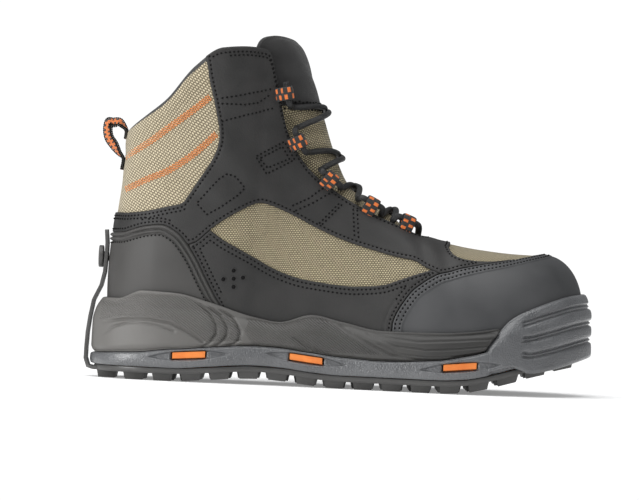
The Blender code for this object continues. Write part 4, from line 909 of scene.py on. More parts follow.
def foam_finish():
    """Midsole foam: fine slanted hatch where the piece's own mask asks for it, with painted light that makes it lighter
    towards the heel.
    """
    finish, tree, shader = new_finish("Midsole foam", (0.045, 0.044, 0.041), 0.52)
    place = add(tree, "ShaderNodeTexCoord").outputs["Object"]
    axes = add(tree, "ShaderNodeSeparateXYZ", {0: place})
    # Painted light: the foam is tinted lighter towards the heel, where the light falls, and darker towards the toe; the
    # grain adds random tone on top.
    painted_heel_light = add(tree, "ShaderNodeMapRange", {0: axes.outputs[0], 1: 0.07, 2: -0.13})
    grain_and_heel_light = math_of(tree, "ADD", math_of(tree, "MULTIPLY", grain(tree, 50, 3.0), 0.3), painted_heel_light.outputs[0])
    tint(tree, shader, grain_and_heel_light, (0.017, 0.0165, 0.0155), (0.110, 0.106, 0.100), (0.15, 1.15))
    slant = math_of(tree, "ADD", math_of(tree, "MULTIPLY", axes.outputs[0], 0.72), axes.outputs[2])
    waves = math_of(tree, "SINE", math_of(tree, "MULTIPLY", slant, 2 * math.pi / 0.0016))
    mask = add(tree, "ShaderNodeAttribute", attribute_name="hatch").outputs["Fac"]
    hatch = math_of(tree, "MULTIPLY", waves, mask)
    raise_relief(tree, shader, [(hatch, 0.00030), (grain(tree, 1300, 3.0), 0.00010)])
    return finish


def tape_finish(name, pitch, dash, field, orange, uv_name="Tape", edge=0.0):
    """Woven tape with two columns of dashes, one half a row behind the other."""
    finish, tree, shader = new_finish(name, field, 0.75, Sheen_Weight=0.1)
    uv = add(tree, "ShaderNodeUVMap", uv_map=uv_name)
    axes = add(tree, "ShaderNodeSeparateXYZ", {0: uv.outputs[0]})
    across, along = axes.outputs[0], axes.outputs[1]
    shift = math_of(tree, "MULTIPLY", math_of(tree, "FLOOR", math_of(tree, "MULTIPLY", across, 2.0)), 0.5)
    rows = math_of(tree, "ADD", math_of(tree, "DIVIDE", along, pitch), shift)
    on_run = math_of(tree, "LESS_THAN", math_of(tree, "ABSOLUTE", math_of(tree, "SUBTRACT", math_of(tree, "FRACT", rows), 0.5)), dash[1])
    column = math_of(tree, "FRACT", math_of(tree, "MULTIPLY", across, 2.0))
    on_column = math_of(tree, "LESS_THAN", math_of(tree, "ABSOLUTE", math_of(tree, "SUBTRACT", column, 0.5)), dash[0])
    spot = math_of(tree, "MULTIPLY", on_run, on_column)
    if edge:
        near_edge = math_of(tree, "GREATER_THAN", math_of(tree, "ABSOLUTE", math_of(tree, "SUBTRACT", across, 0.5)), 0.5 - edge)
        spot = math_of(tree, "MAXIMUM", spot, near_edge)
    mix = add(tree, "ShaderNodeMix", {0: spot, 6: (*field, 1), 7: (*orange, 1)}, data_type="RGBA")
    tree.links.new(mix.outputs[2], shader.inputs["Base Color"])
    ribs = math_of(tree, "SINE", math_of(tree, "MULTIPLY", along, 2 * math.pi / 0.0008))
    cords = math_of(tree, "SINE", math_of(tree, "MULTIPLY", across, 2 * math.pi * 8))
    raise_relief(tree, shader, [(math_of(tree, "MULTIPLY", ribs, cords), 0.00012), (spot, 0.0002)])
    return finish


def cord_finish():
    finish, tree, shader = new_finish("Lace cord", (0.008, 0.008, 0.008), 0.5, Coat_Weight=0.05)
    uv = add(tree, "ShaderNodeUVMap", uv_map="Cord")
    axes = add(tree, "ShaderNodeSeparateXYZ", {0: uv.outputs[0]})
    ribs = math_of(tree, "SINE", math_of(tree, "MULTIPLY", axes.outputs[0], 2 * math.pi * 12))
    picks = math_of(tree, "SINE", math_of(tree, "MULTIPLY", axes.outputs[1], 2 * math.pi / 0.0011))
    weave = math_of(tree, "ADD", math_of(tree, "MULTIPLY", ribs, 0.4), math_of(tree, "MULTIPLY", picks, 0.15))
    tint(tree, shader, weave, (0.003, 0.003, 0.003), (0.012, 0.012, 0.013), (-0.5, 0.5))
    raise_relief(tree, shader, [(weave, 0.00022)])
    return finish


def cloth_finish(name, colour, light, roughness=0.85, pitch=0.0009):
    """Plain woven or knitted cloth with fine rows, read from the piece's own place."""
    finish, tree, shader = new_finish(name, colour, roughness, Sheen_Weight=0.15)
    place = add(tree, "ShaderNodeTexCoord").outputs["Object"]
    axes = add(tree, "ShaderNodeSeparateXYZ", {0: place})
    first = math_of(tree, "SINE", math_of(tree, "MULTIPLY", axes.outputs[2], 2 * math.pi / pitch))
    second = math_of(tree, "SINE", math_of(tree, "MULTIPLY", math_of(tree, "ADD", axes.outputs[0], axes.outputs[1]), 2 * math.pi / pitch))
    tint(tree, shader, grain(tree, 90, 3.0), colour, light, (0.3, 0.7))
    raise_relief(tree, shader, [(math_of(tree, "MULTIPLY", first, second), 0.00008), (grain(tree, 1800, 2.0), 0.00008)])
    return finish


def thread_finish(name, colour):
    finish, tree, shader = new_finish(name, colour, 0.85)
    shader.inputs["Specular IOR Level"].default_value = 0.15
    raise_relief(tree, shader, [(grain(tree, 5000, 2.0), 0.00006)])
    tint(tree, shader, grain(tree, 900, 2.0), colour, tuple(min(1, 1.5 * c) for c in colour), (0.3, 0.7))
    return finish


def orange_plastic_finish():
    finish, tree, shader = new_finish("Orange plastic", (0.72, 0.19, 0.03), 0.42)
    clouds = grain(tree, 120, 2.0)
    tint(tree, shader, clouds, (0.66, 0.16, 0.022), (0.78, 0.23, 0.04), (0.3, 0.7))
    raise_relief(tree, shader, [(grain(tree, 1600, 2.0), 0.00005)])
    return finish


def floor_finish():
    finish, tree, shader = new_finish("Pale floor", (0.95, 0.95, 0.95), 0.7)
    shader.inputs["Emission Color"].default_value = (1, 1, 1, 1)
    shader.inputs["Emission Strength"].default_value = 0.22
    return finish


KHAKI = khaki_mesh_finish()
COLLAR_KHAKI = khaki_mesh_finish("Collar khaki mesh", 0.00225, 0.00165, 0.38, (0.165, 0.135, 0.085), (0.60, 0.52, 0.36))
PANEL_SKIN = black_panel_finish()
TOE_SKIN = moulded_skin_finish("Toe cap skin", (0.032, 0.033, 0.035), (0.048, 0.049, 0.051), 0.50)
COUNTER_SKIN = moulded_skin_finish("Heel counter skin", (0.032, 0.031, 0.029), (0.044, 0.042, 0.040), 0.55)
CHASSIS_RUBBER = pebbled_rubber_finish("Chassis rubber", (0.068, 0.070, 0.074), (0.105, 0.108, 0.113), 0.30, 0.00045)
TREAD_RUBBER = pebbled_rubber_finish("Tread rubber", (0.036, 0.035, 0.034), (0.050, 0.049, 0.047), 0.60, 0.00005)
FOAM = foam_finish()
LOOP_TAPE = tape_finish("Loop tape", 0.0046, (0.36, 0.20), (0.014, 0.014, 0.014), (0.66, 0.155, 0.025))
PULL_TAPE = tape_finish("Pull loop tape", 0.0026, (0.26, 0.24), (0.62, 0.16, 0.026), (0.02, 0.018, 0.016), edge=0.10)
CORD = cord_finish()
KNIT = cloth_finish("Black tongue cloth", (0.011, 0.0105, 0.0105), (0.018, 0.0175, 0.0175))
LINING = cloth_finish("Dark lining", (0.030, 0.030, 0.030), (0.046, 0.045, 0.044))
BINDING = cloth_finish("Collar binding", (0.018, 0.018, 0.018), (0.028, 0.028, 0.028), 0.7, 0.0006)
INSOLE_CLOTH = cloth_finish("Insole cloth", (0.055, 0.055, 0.055), (0.075, 0.075, 0.075))
# Black thread made darker than the panels it is sewn on: painted shade of the stitch holes. The same finish gives the
# painted shade inside the drain holes.
THREAD_AND_HOLE_SHADE = thread_finish("Black thread and hole shade", (0.0035, 0.0035, 0.0035))
ORANGE_THREAD = thread_finish("Orange thread", (0.50, 0.19, 0.065))
ORANGE = orange_plastic_finish()


# Making meshes


def make_piece(name, points, faces, materials, slots=None, smooth=True):
    """A mesh object at the origin, with its finishes and the slot number of each face."""
    name = name.replace(" ", "_")
    mesh = bpy.data.meshes.new(name)
    mesh.from_pydata(np.asarray(points, float).tolist(), [], [tuple(map(int, f)) for f in faces])
    for material in materials:
        mesh.materials.append(material)
    if slots is not None:
        mesh.polygons.foreach_set("material_index", np.asarray(slots, dtype=np.int32))
    mesh.polygons.foreach_set("use_smooth", [smooth] * len(mesh.polygons))
    mesh.update()
    piece = bpy.data.objects.new(name, mesh)
    bpy.context.scene.collection.objects.link(piece)
    return piece


def point_value(piece, name, values):
    """A number for each point of a piece, for its finish to read."""
    layer = piece.data.attributes.new(name, "FLOAT", "POINT")
    layer.data.foreach_set("value", np.asarray(values, dtype=np.float32))


def cloth_map(piece, name, uv):
    """UV map from one pair for each point."""
    corners = np.zeros(len(piece.data.loops), dtype=np.int32)
    piece.data.loops.foreach_get("vertex_index", corners)
    layer = piece.data.uv_layers.new(name=name)
    layer.data.foreach_set("uv", np.asarray(uv, dtype=np.float32)[corners].ravel())


def settle(piece, slot, *nodes):
    """Rides on the boot and stands for the solids that it covers; its slot is not used."""
    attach(piece, "root")
    if nodes:
        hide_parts(*nodes)
    return piece


# The net on the last: columns are side, rib, climb and then fields in metres


def last_net(first, last, climbs, spacing=0.0017):
    """Net of triangles over both sides of the last, joined at heel, toe and ridge."""
    ribs = [first]
    for knot in range(math.floor(first), math.ceil(last)):
        start, end = max(first, knot), min(last, knot + 1)
        length = np.linalg.norm(rib_point(LATERAL, end, 0.35) - rib_point(LATERAL, start, 0.35))
        steps = max(2, int(math.ceil(length / spacing)))
        ribs += list(np.linspace(start, end, steps + 1)[1:])
    ribs, climbs = np.array(ribs), np.asarray(climbs, float)
    rib, climb = (g.ravel() for g in np.meshgrid(ribs, climbs, indexing="ij"))
    seam = (rib <= 0) | (rib >= LAST_RIB) | ((rib >= THROAT_BASE) & (climb >= 1))
    count = len(rib)
    lateral = np.column_stack([np.where(seam, 0, LATERAL), rib, climb])
    medial = np.column_stack([np.full(count, MEDIAL), rib, climb])
    i, j = np.meshgrid(np.arange(len(ribs) - 1), np.arange(len(climbs) - 1), indexing="ij")
    here = (i * len(climbs) + j).ravel()
    there = here + len(climbs)
    low = np.column_stack([here, there, there + 1])
    high = np.column_stack([here, there + 1, here + 1])
    half = np.concatenate([low, high])
    other = np.where(seam, np.arange(count), count + np.arange(count))
    faces = np.concatenate([half, other[half][:, ::-1]])
    return np.concatenate([lateral, medial]), faces


def on_last(net, offset):
    """Places of a net's points off the last's face."""
    offset = np.broadcast_to(np.asarray(offset, float), (len(net),))
    points = np.zeros((len(net), 3))
    for side, chosen in ((LATERAL, net[:, 0] <= 0), (MEDIAL, net[:, 0] > 0)):
        if chosen.any():
            points[chosen] = form_point(side, net[chosen, 1], net[chosen, 2], offset[chosen])
    return points


def split(net, faces, column, level, near=6e-5):
    """Cuts the triangles that a level of one column crosses, so that the level lies on edges."""
    net = net.copy()
    net[np.abs(net[:, column] - level) < near, column] = level
    sign = np.sign(net[:, column] - level)
    corner = sign[faces]
    crossed = (corner.min(1) < 0) & (corner.max(1) > 0)
    whole, cut = faces[~crossed], faces[crossed]
    if not len(cut):
        return net, faces
    corner = corner[crossed]
    touching = (corner == 0).any(1)
    first = np.where(touching, np.argmin(np.abs(corner), 1), np.argmax(corner * corner.sum(1)[:, None] < 0, 1))
    cut = np.take_along_axis(cut, (first[:, None] + np.arange(3)) % 3, 1)
    size = len(net)

    def key(a, b):
        return np.minimum(a, b) * size + np.maximum(a, b)

    a, b, c = cut.T
    keys = np.unique(np.concatenate([key(b, c)[touching], key(a, b)[~touching], key(a, c)[~touching]]))
    start, end = net[keys // size], net[keys % size]
    share = (level - start[:, column]) / (end[:, column] - start[:, column])
    fresh = start + (end - start) * share[:, None]
    fresh[:, 0] = np.sign(start[:, 0] + end[:, 0])
    fresh[:, column] = level

    def met(p, q):
        return size + np.searchsorted(keys, key(p, q))

    t, f = touching, ~touching
    p = met(b[t], c[t])
    q, r = met(a[f], b[f]), met(a[f], c[f])
    parts = [
        np.column_stack([a[t], b[t], p]),
        np.column_stack([a[t], p, c[t]]),
        np.column_stack([a[f], q, r]),
        np.column_stack([q, b[f], c[f]]),
        np.column_stack([q, c[f], r]),
    ]
    return np.concatenate([net, fresh]), np.concatenate([whole] + parts)


def edges_on(net, faces, column, level):
    on = np.abs(net[:, column] - level) < 1e-9
    edges = np.concatenate([faces[:, [0, 1]], faces[:, [1, 2]], faces[:, [2, 0]]])
    return np.unique(np.sort(edges[on[edges].all(1)], axis=1), axis=0)


def runs_of(edges):
    """Edges put in order, as long runs of points."""
    beside = {}
    for a, b in edges.tolist():
        beside.setdefault(a, []).append(b)
        beside.setdefault(b, []).append(a)
    starts = [p for p in beside if len(beside[p]) == 1] + list(beside)
    runs = []
    for start in starts:
        while beside[start]:
            run = [start]
            while beside[run[-1]]:
                here = run[-1]
                ahead = beside[here].pop()
                beside[ahead].remove(here)
                run.append(ahead)
            runs.append(run)
    return runs


def outline_distance(points, outline):
    """Signed distance in the side view to an outline: positive inside it."""
    outline = np.asarray(outline, float)
    a, b = outline, np.roll(outline, -1, axis=0)
    best = np.full(len(points), 1e9)
    inside = np.zeros(len(points), bool)
    x, z = points[:, 0], points[:, 1]
    for (ax, az), (bx, bz) in zip(a, b):
        run = np.array([bx - ax, bz - az])
        share = np.clip(((x - ax) * run[0] + (z - az) * run[1]) / max(run @ run, 1e-12), 0, 1)
        best = np.minimum(best, np.hypot(x - ax - share * run[0], z - az - share * run[1]))
        crosses = (az > z) != (bz > z)
        if bz != az:
            inside ^= crosses & (x < ax + (z - az) / (bz - az) * (bx - ax))
    return np.where(inside, best, -best)


def smooth_outline(knots, closed=True, steps=8):
    """Outline rounded between its points; a point given twice stays a corner."""
    knots = [tuple(k) for k in knots]
    route = []
    count = len(knots)
    for i in range(count if closed else count - 1):
        p0, p1, p2, p3 = (np.array(knots[(i + k) % count]) for k in (-1, 0, 1, 2))
        if not closed and i == 0:
            p0 = 2 * p1 - p2
        if not closed and i == count - 2:
            p3 = 2 * p2 - p1
        if (p1 == p2).all():
            continue
        m1, m2 = (p2 - p0) / 2, (p3 - p1) / 2
        if (p0 == p1).all():
            m1 = (p2 - p1) * 0
        if (p2 == p3).all():
            m2 = (p2 - p1) * 0
        for k in range(steps):
            u = k / steps
            route.append(
                (1 + 2 * u) * (1 - u) ** 2 * p1 + u * (1 - u) ** 2 * m1 + u * u * (3 - 2 * u) * p2 + u * u * (u - 1) * m2
            )
    if not closed:
        route.append(np.array(knots[-1]))
    return np.array(route)


def cut_panel(net, faces, outline, levels):
    """Panel inside an outline; the net gains its distance from the panel's edge on the face."""
    places = on_last(net, 0.0)
    net = np.column_stack([net, outline_distance(places[:, [0, 2]], outline)])
    column = net.shape[1] - 1
    net, faces = split(net, faces, column, 0.0)
    edge = edges_on(net, faces, column, 0.0)
    places = on_last(net, 0.0)
    share = (np.arange(6) / 6)[None, :, None]
    dense = (places[edge[:, 0], None] * (1 - share) + places[edge[:, 1], None] * share).reshape(-1, 3)
    tree = KDTree(len(dense))
    for k, place in enumerate(dense):
        tree.insert(place, k)
    tree.balance()
    reach = 0.012
    close = np.where(np.abs(net[:, column]) < reach)[0]
    distance = np.abs(net[:, column]).copy()
    distance[close] = [min(tree.find(places[k])[2], 2 * reach) for k in close]
    net[:, column] = np.where(net[:, column] > 0, np.maximum(distance, 1e-5), -np.maximum(distance, 1e-5)) * (
        net[:, column] != 0
    )
    faces = faces[net[faces, column].mean(1) > 0]
    for level in levels:
        net, faces = split(net, faces, column, level)
    return net, faces


def close_sheet(name, net, faces, top, bottom, materials, slots=None):
    """A sewn panel: its face, its back and the wall round its edge."""
    used, faces = np.unique(faces, return_inverse=True)
    faces = faces.reshape(-1, 3)
    net, top, bottom = net[used], np.broadcast_to(top, (len(net),))[used], np.broadcast_to(bottom, (len(net),))[used]
    count = len(net)
    edges = np.concatenate([faces[:, [0, 1]], faces[:, [1, 2]], faces[:, [2, 0]]])
    key = np.minimum(edges[:, 0], edges[:, 1]) * count + np.maximum(edges[:, 0], edges[:, 1])
    _, place, times = np.unique(key, return_index=True, return_counts=True)
    open_edges = edges[place[times == 1]]
    a, b = open_edges.T
    walls = np.concatenate([np.column_stack([b, a, a + count]), np.column_stack([b, a + count, b + count])])
    solid = np.concatenate([faces, faces[:, ::-1] + count, walls])
    points = np.concatenate([on_last(net, top), on_last(net, bottom)])
    if slots is not None:
        slots = np.concatenate([slots[0](net, faces), np.full(len(faces), slots[1]), np.full(len(walls), slots[2])])
    piece = make_piece(name, points, solid, materials, slots)
    return piece, net


def edge_round(distance, radius):
    """Share of a sheet's thickness at a distance from its edge, for a rounded edge."""
    share = 1 - np.clip(distance / radius, 0, 1)
    return np.sqrt(np.maximum(1 - share * share, 0))


def ridge(distance, width):
    return np.exp(-((distance / width) ** 2))


def groove_along(points, line, width):
    """How near points in the side view are to an open line: 1 on it, 0 away from it."""
    line = np.asarray(line, float)
    best = np.full(len(points), 1e9)
    for a, b in zip(line[:-1], line[1:]):
        run = b - a
        share = np.clip(((points - a) @ run) / max(run @ run, 1e-12), 0, 1)
        best = np.minimum(best, np.linalg.norm(points - a - share[:, None] * run, axis=1))
    return ridge(best, width)


# Sewing: a Geometry Nodes tree lays one stitch on each point


def sewing_tree():
    tree = bpy.data.node_groups.new("Sewing", "GeometryNodeTree")
    face = tree.interface
    face.new_socket("Seam points", in_out="INPUT", socket_type="NodeSocketGeometry")
    face.new_socket("Stitch length", in_out="INPUT", socket_type="NodeSocketFloat")
    face.new_socket("Thread thickness", in_out="INPUT", socket_type="NodeSocketFloat")
    face.new_socket("Thread", in_out="INPUT", socket_type="NodeSocketMaterial")
    face.new_socket("Stitches", in_out="OUTPUT", socket_type="NodeSocketGeometry")
    start = tree.nodes.new("NodeGroupInput")
    end = tree.nodes.new("NodeGroupOutput")
    bead = add(tree, "GeometryNodeMeshUVSphere", {"Segments": 6, "Rings": 4, "Radius": 0.5})
    size = add(tree, "ShaderNodeCombineXYZ", {0: start.outputs["Stitch length"], 1: start.outputs["Thread thickness"],
                                              2: start.outputs["Thread thickness"]})
    stitch = add(tree, "GeometryNodeTransform", {"Geometry": bead.outputs[0], "Scale": size.outputs[0]})
    run = add(tree, "GeometryNodeInputNamedAttribute", {"Name": "run"}, data_type="FLOAT_VECTOR")
    out = add(tree, "GeometryNodeInputNamedAttribute", {"Name": "out"}, data_type="FLOAT_VECTOR")
    turn = add(tree, "FunctionNodeAlignRotationToVector", {"Vector": run.outputs[0]}, axis="X")
    lay = add(tree, "FunctionNodeAlignRotationToVector", {"Rotation": turn.outputs[0], "Vector": out.outputs[0]},
              axis="Z", pivot_axis="X")
    placed = add(tree, "GeometryNodeInstanceOnPoints", {"Points": start.outputs["Seam points"],
                                                        "Instance": stitch.outputs[0], "Rotation": lay.outputs[0]})
    real = add(tree, "GeometryNodeRealizeInstances", {"Geometry": placed.outputs[0]})
    dressed = add(tree, "GeometryNodeSetMaterial", {"Geometry": real.outputs[0], "Material": start.outputs["Thread"]})
    tree.links.new(dressed.outputs[0], end.inputs[0])
    return tree


SEWING = sewing_tree()


def sew(name, seams, length, thickness, thread, slot):
    """Stitches along seams, each a triple of places, directions of the run and outward normals."""
    places, runs, outs = (np.concatenate([seam[k] for seam in seams]) for k in range(3))
    mesh = bpy.data.meshes.new(name + " points")
    mesh.from_pydata(places.tolist(), [], [])
    for title, values in (("run", runs), ("out", outs)):
        mesh.attributes.new(title, "FLOAT_VECTOR", "POINT").data.foreach_set(
            "vector", np.asarray(values, dtype=np.float32).ravel()
        )
    guide = bpy.data.objects.new(name + " points", mesh)
    bpy.context.scene.collection.objects.link(guide)
    sewing = guide.modifiers.new("Sewing", "NODES")
    sewing.node_group = SEWING
    for item in SEWING.interface.items_tree:
        if item.in_out == "INPUT" and item.name == "Stitch length":
            sewing[item.identifier] = length
        if item.in_out == "INPUT" and item.name == "Thread thickness":
            sewing[item.identifier] = thickness
        if item.in_out == "INPUT" and item.name == "Thread":
            sewing[item.identifier] = thread
    bpy.context.view_layer.update()
    depsgraph = bpy.context.evaluated_depsgraph_get()
    stitched = bpy.data.meshes.new_from_object(guide.evaluated_get(depsgraph), depsgraph=depsgraph)
    bpy.data.objects.remove(guide)
    stitched.polygons.foreach_set("use_smooth", [True] * len(stitched.polygons))
    piece = bpy.data.objects.new(name.replace(" ", "_"), stitched)
    bpy.context.scene.collection.objects.link(piece)
    return settle(piece, slot)


def pace(places, outs, pitch):
    """Stitch places at an even pitch along a seam, with its run and outward normal at each."""
    steps = np.linalg.norm(np.diff(places, axis=0), axis=1)
    length = np.append(0, np.cumsum(steps))
    count = int(length[-1] / pitch)
    if count < 1:
        return np.zeros((0, 3)), np.zeros((0, 3)), np.zeros((0, 3))
    marks = (np.arange(count) + 0.5) * length[-1] / count

    def at(values, where):
        return np.stack([np.interp(where, length, values[:, k]) for k in range(3)], axis=-1)

    run = at(places, marks + 0.4 * pitch) - at(places, marks - 0.4 * pitch)
    run /= np.maximum(np.linalg.norm(run, axis=1), 1e-9)[:, None]
    out = at(outs, marks)
    return at(places, marks), run, out / np.linalg.norm(out, axis=1)[:, None]


def seams_on(net, faces, column, level, top, pitch, keep=None):
    """Seams along a level of a panel's field, lying on its face."""
    seams = []
    for run in runs_of(edges_on(net, faces, column, level)):
        if len(run) < 6:
            continue
        rows = net[run]
        places = on_last(rows, top[run])
        outs = on_last(rows, top[run] + 0.001) - places
        if keep is None:
            seams.append(pace(places, outs, pitch))
            continue
        kept = keep(places)
        for part in np.split(np.arange(len(run)), np.where(np.diff(kept.astype(int)) != 0)[0] + 1):
            if kept[part[0]] and len(part) > 3:
                seams.append(pace(places[part], outs[part], pitch))
    return seams


LOOKUP_RIBS = np.linspace(0, LAST_RIB, 361)
LOOKUP_CLIMBS = np.linspace(0, 1, 101)
LOOKUP = {side: rib_point(side, LOOKUP_RIBS[:, None], LOOKUP_CLIMBS[None, :]) for side in (LATERAL, MEDIAL)}


def find_on_last(side, points):
    """Net rows of places given in the side view."""
    field = LOOKUP[side][..., [0, 2]].reshape(-1, 2)
    rows = []
    for point in np.asarray(points, float):
        best = int(np.argmin(np.sum((field - point) ** 2, axis=1)))
        rib, climb = LOOKUP_RIBS[best // len(LOOKUP_CLIMBS)], LOOKUP_CLIMBS[best % len(LOOKUP_CLIMBS)]
        for _ in range(3):
            here = rib_point(side, rib, climb)[[0, 2]]
            by_rib = (rib_point(side, min(rib + 0.01, LAST_RIB), climb)[[0, 2]] - here) / 0.01
            by_climb = (here - rib_point(side, rib, climb - 0.005)[[0, 2]]) / 0.005
            matrix = np.column_stack([by_rib, by_climb])
            if abs(np.linalg.det(matrix)) < 1e-7:
                break
            move = np.linalg.solve(matrix, point - here)
            rib = float(np.clip(rib + np.clip(move[0], -0.1, 0.1), 0, LAST_RIB - 0.02))
            climb = float(np.clip(climb + np.clip(move[1], -0.02, 0.02), 0.01, 1.0))
        rows.append((side, rib, climb))
    return np.array(rows)


def seam_from_side(side, line, lift, pitch, closed=False):
    """A seam given in the side view, in metres, laid on the last at a height off it."""
    knots = [tuple(p) for p in line]
    if closed:
        knots.append(knots[0])
    route = []
    for (ax, az), (bx, bz) in zip(knots[:-1], knots[1:]):
        steps = max(2, int(math.hypot(bx - ax, bz - az) / 0.002))
        route += [(ax + (bx - ax) * k / steps, az + (bz - az) * k / steps) for k in range(steps)]
    route.append(knots[-1])
    rows = find_on_last(side, route)
    places = on_last(rows, lift(rows))
    outs = on_last(rows, lift(rows) + 0.001) - places
    return pace(places, outs, pitch)


def seam_by_mouth(side, first, last, inset):
    """A seam at one distance inside the collar's mouth and the throat."""
    ribs = np.linspace(first, last, 240)
    length = 2.1 * np.linalg.norm(rib_point(side, ribs, 1.0) - rib_point(side, ribs, 0.5), axis=1)
    rows = np.column_stack([np.full(240, side), ribs, 1 - inset / length])
    lift = FACE + creased(on_last(rows, 0.0))
    places = on_last(rows, lift)
    return pace(places, on_last(rows, lift + 0.001) - places, STITCH_PITCH)


# Soft creases pressed into upper and panels alike: place, length, lean, width, depth
CREASES = [
    # x, z, half length, lean in degrees, half width, depth
    (-0.118, 0.150, 0.016, 18, 0.0050, 0.0008),
    (-0.104, 0.126, 0.018, -28, 0.0055, 0.0009),
    (-0.130, 0.128, 0.012, 40, 0.0050, 0.0006),
    (-0.060, 0.150, 0.016, -50, 0.0060, 0.0006),
    (-0.072, 0.128, 0.018, -35, 0.0060, 0.0008),
    (-0.040, 0.128, 0.018, -32, 0.0050, 0.0007),
    (-0.066, 0.190, 0.014, 12, 0.0050, 0.0005),
    (-0.010, 0.104, 0.020, -38, 0.0050, 0.0006),
    (0.028, 0.090, 0.014, -30, 0.0045, 0.0006),
    (0.052, 0.086, 0.012, -62, 0.0040, 0.0007),
    (0.066, 0.080, 0.013, -70, 0.0040, 0.0006),
    (-0.060, 0.082, 0.018, 32, 0.0055, 0.0005),
    (0.020, 0.060, 0.024, 8, 0.0060, 0.0005),
]


def creased(places):
    """Height of the soft creases at places, below zero in a trough and above beside it."""
    height = np.zeros(len(places))
    for x, z, reach, lean, width, depth in CREASES:
        turn = math.radians(lean)
        dx, dz = places[:, 0] - x, places[:, 2] - z
        along = (dx * math.cos(turn) + dz * math.sin(turn)) / reach
        across = (-dx * math.sin(turn) + dz * math.cos(turn)) / width
        fade = np.exp(-(along**2))
        height += depth * fade * (-np.exp(-(across**2)) + 0.7 * np.exp(-((np.abs(across) - 1.9) ** 2)))
    return height


FACE = GAP + PANEL
CLIMB_STEPS = np.concatenate([np.linspace(0, 0.97, 92), [0.978, 0.985, 0.990, 0.994, 0.997, 0.9988, 1.0]])


def build_upper():
    """Mesh upper: outside, padded collar, binding round the mouth and lining inside."""
    net, faces = last_net(0, LAST_RIB, CLIMB_STEPS, 0.0021)
    places = on_last(net, 0.0)
    side, rib, climb = net[:, 0], net[:, 1], net[:, 2]
    wall = upper_wall(rib, climb)
    length = np.array([np.linalg.norm(rib_point(LATERAL, r, 1.0) - rib_point(LATERAL, r, 0.5)) * 2.1 for r in np.arange(0, LAST_RIB + 1)])
    to_mouth = (1 - climb) * np.interp(rib, np.arange(0, LAST_RIB + 1), length)
    mouth = rib <= THROAT_BASE
    half = wall / 2
    rounded = np.where(mouth, edge_round(to_mouth, half), 1.0)
    puff = 0.0012 * ease(rib, 7.2, 5.8) * ridge(to_mouth - 0.010, 0.007)
    soft = creased(places)
    outer = -half + half * rounded + (puff + soft) * np.clip(to_mouth / 0.003, 0, 1)
    inner = -half - half * rounded + soft * np.clip(to_mouth / 0.003, 0, 1)

    def slots(part, triangles):
        rim = (1 - part[triangles, 2].mean(1)) * np.interp(
            part[triangles, 1].mean(1), np.arange(0, LAST_RIB + 1), length
        )
        bound = (rim < np.where(part[triangles, 1].mean(1) < 7.3, 0.0034, 0.0012)) & (part[triangles, 1].mean(1) < THROAT_BASE)
        collar = on_last(part[triangles].reshape(-1, 3), 0.0).reshape(-1, 3, 3).mean(1)
        collar = (collar[:, 0] < -0.072) & (collar[:, 2] > 0.104)
        return np.where(bound, 1, np.where(collar, 3, 0))

    piece, part = close_sheet("Mesh upper", net, faces, outer, inner, [KHAKI, BINDING, LINING, COLLAR_KHAKI], (slots, 2, 1))
    around = np.interp(part[:, 1], np.arange(0, LAST_RIB + 1), np.append(0, np.cumsum([
        np.linalg.norm(rib_point(LATERAL, r + 1, 0.45) - rib_point(LATERAL, r, 0.45)) for r in range(LAST_RIB)])))
    flat = on_last(part, 0.0)
    uv = np.column_stack([around * np.where(part[:, 0] > 0, -1, 1), flat[:, 2]])
    on_vamp = (flat[:, 0] > 0.060) & (flat[:, 2] > 0.0815)
    uv[on_vamp] = flat[on_vamp][:, :2]
    cloth_map(piece, "Cloth", np.concatenate([uv, uv]))
    return settle(piece, "khaki_mesh", "upper")


def in_metres(table, shift=0.0):
    return [(float(along_x(a + shift)), u * BOOT_HEIGHT) for a, u in table]


def beside(line, gap):
    """A line drawn beside another, to its left as it runs."""
    run = np.gradient(line, axis=0)
    run /= np.linalg.norm(run, axis=1)[:, None]
    return line + np.column_stack([-run[:, 1], run[:, 0]]) * gap


SEAM = 0.0002
TOE_LINE = smooth_outline(in_metres(TOE_CAP_EDGE), closed=False, steps=5)
COUNTER_LINE = smooth_outline(in_metres(COUNTER_EDGE[:-1]), closed=False, steps=5)[:-1]
# Where neighbours of the heel counter and of the toe cap meet, and where each two of them part
HEEL_SEAM = beside(COUNTER_LINE, SEAM)
HEEL_JOIN = (float(np.interp(0.0860, *HEEL_SEAM[: np.argmax(HEEL_SEAM[:, 1])].T[::-1])), 0.0860)
TOE_SEAM = beside(TOE_LINE, SEAM)
TOE_JOIN = (0.0620, float(np.interp(0.0620, *TOE_SEAM.T)))
# Lower edge of the mesh on the vamp, in millimetres
VAMP_FRONT = [
    (67.0, 90.8),
    (70.1, 86.1),
    (75.3, 83.8),
    (84.9, 82.9),
    (94.5, 83.0),
    (104.0, 84.2),
    (113.5, 85.6),
    (128.0, 88.4),
]


PANEL_CLIMBS = np.concatenate([np.linspace(0, 0.985, 110), [0.992, 1.0]])


def rounded_face(distance, extra, places, radius=0.0011):
    return GAP + PANEL * (0.25 + 0.75 * edge_round(distance, radius)) + extra + creased(places)


def panel(name, node, outline, levels, relief, skin, slot, spacing=0.0017, first=0, sides=None):
    """A sewn panel over the mesh, with the solid it stands for."""
    net, faces = last_net(first, LAST_RIB, PANEL_CLIMBS, spacing)
    if sides is not None:
        faces = faces[(net[faces, 0] * sides >= 0).all(1) & (net[faces, 0] != 0).any(1)]
    net, faces = cut_panel(net, faces, outline, levels)
    places = on_last(net, 0.0)
    distance = net[:, 3]
    top = rounded_face(distance, relief(distance, places), places)
    piece, part = close_sheet(name, net, faces, top, GAP + creased(places), [skin])
    settle(piece, slot, node)
    return net, faces, top


STITCH_PITCH = 0.0027
STITCH = 0.0016
THREAD = 0.0013


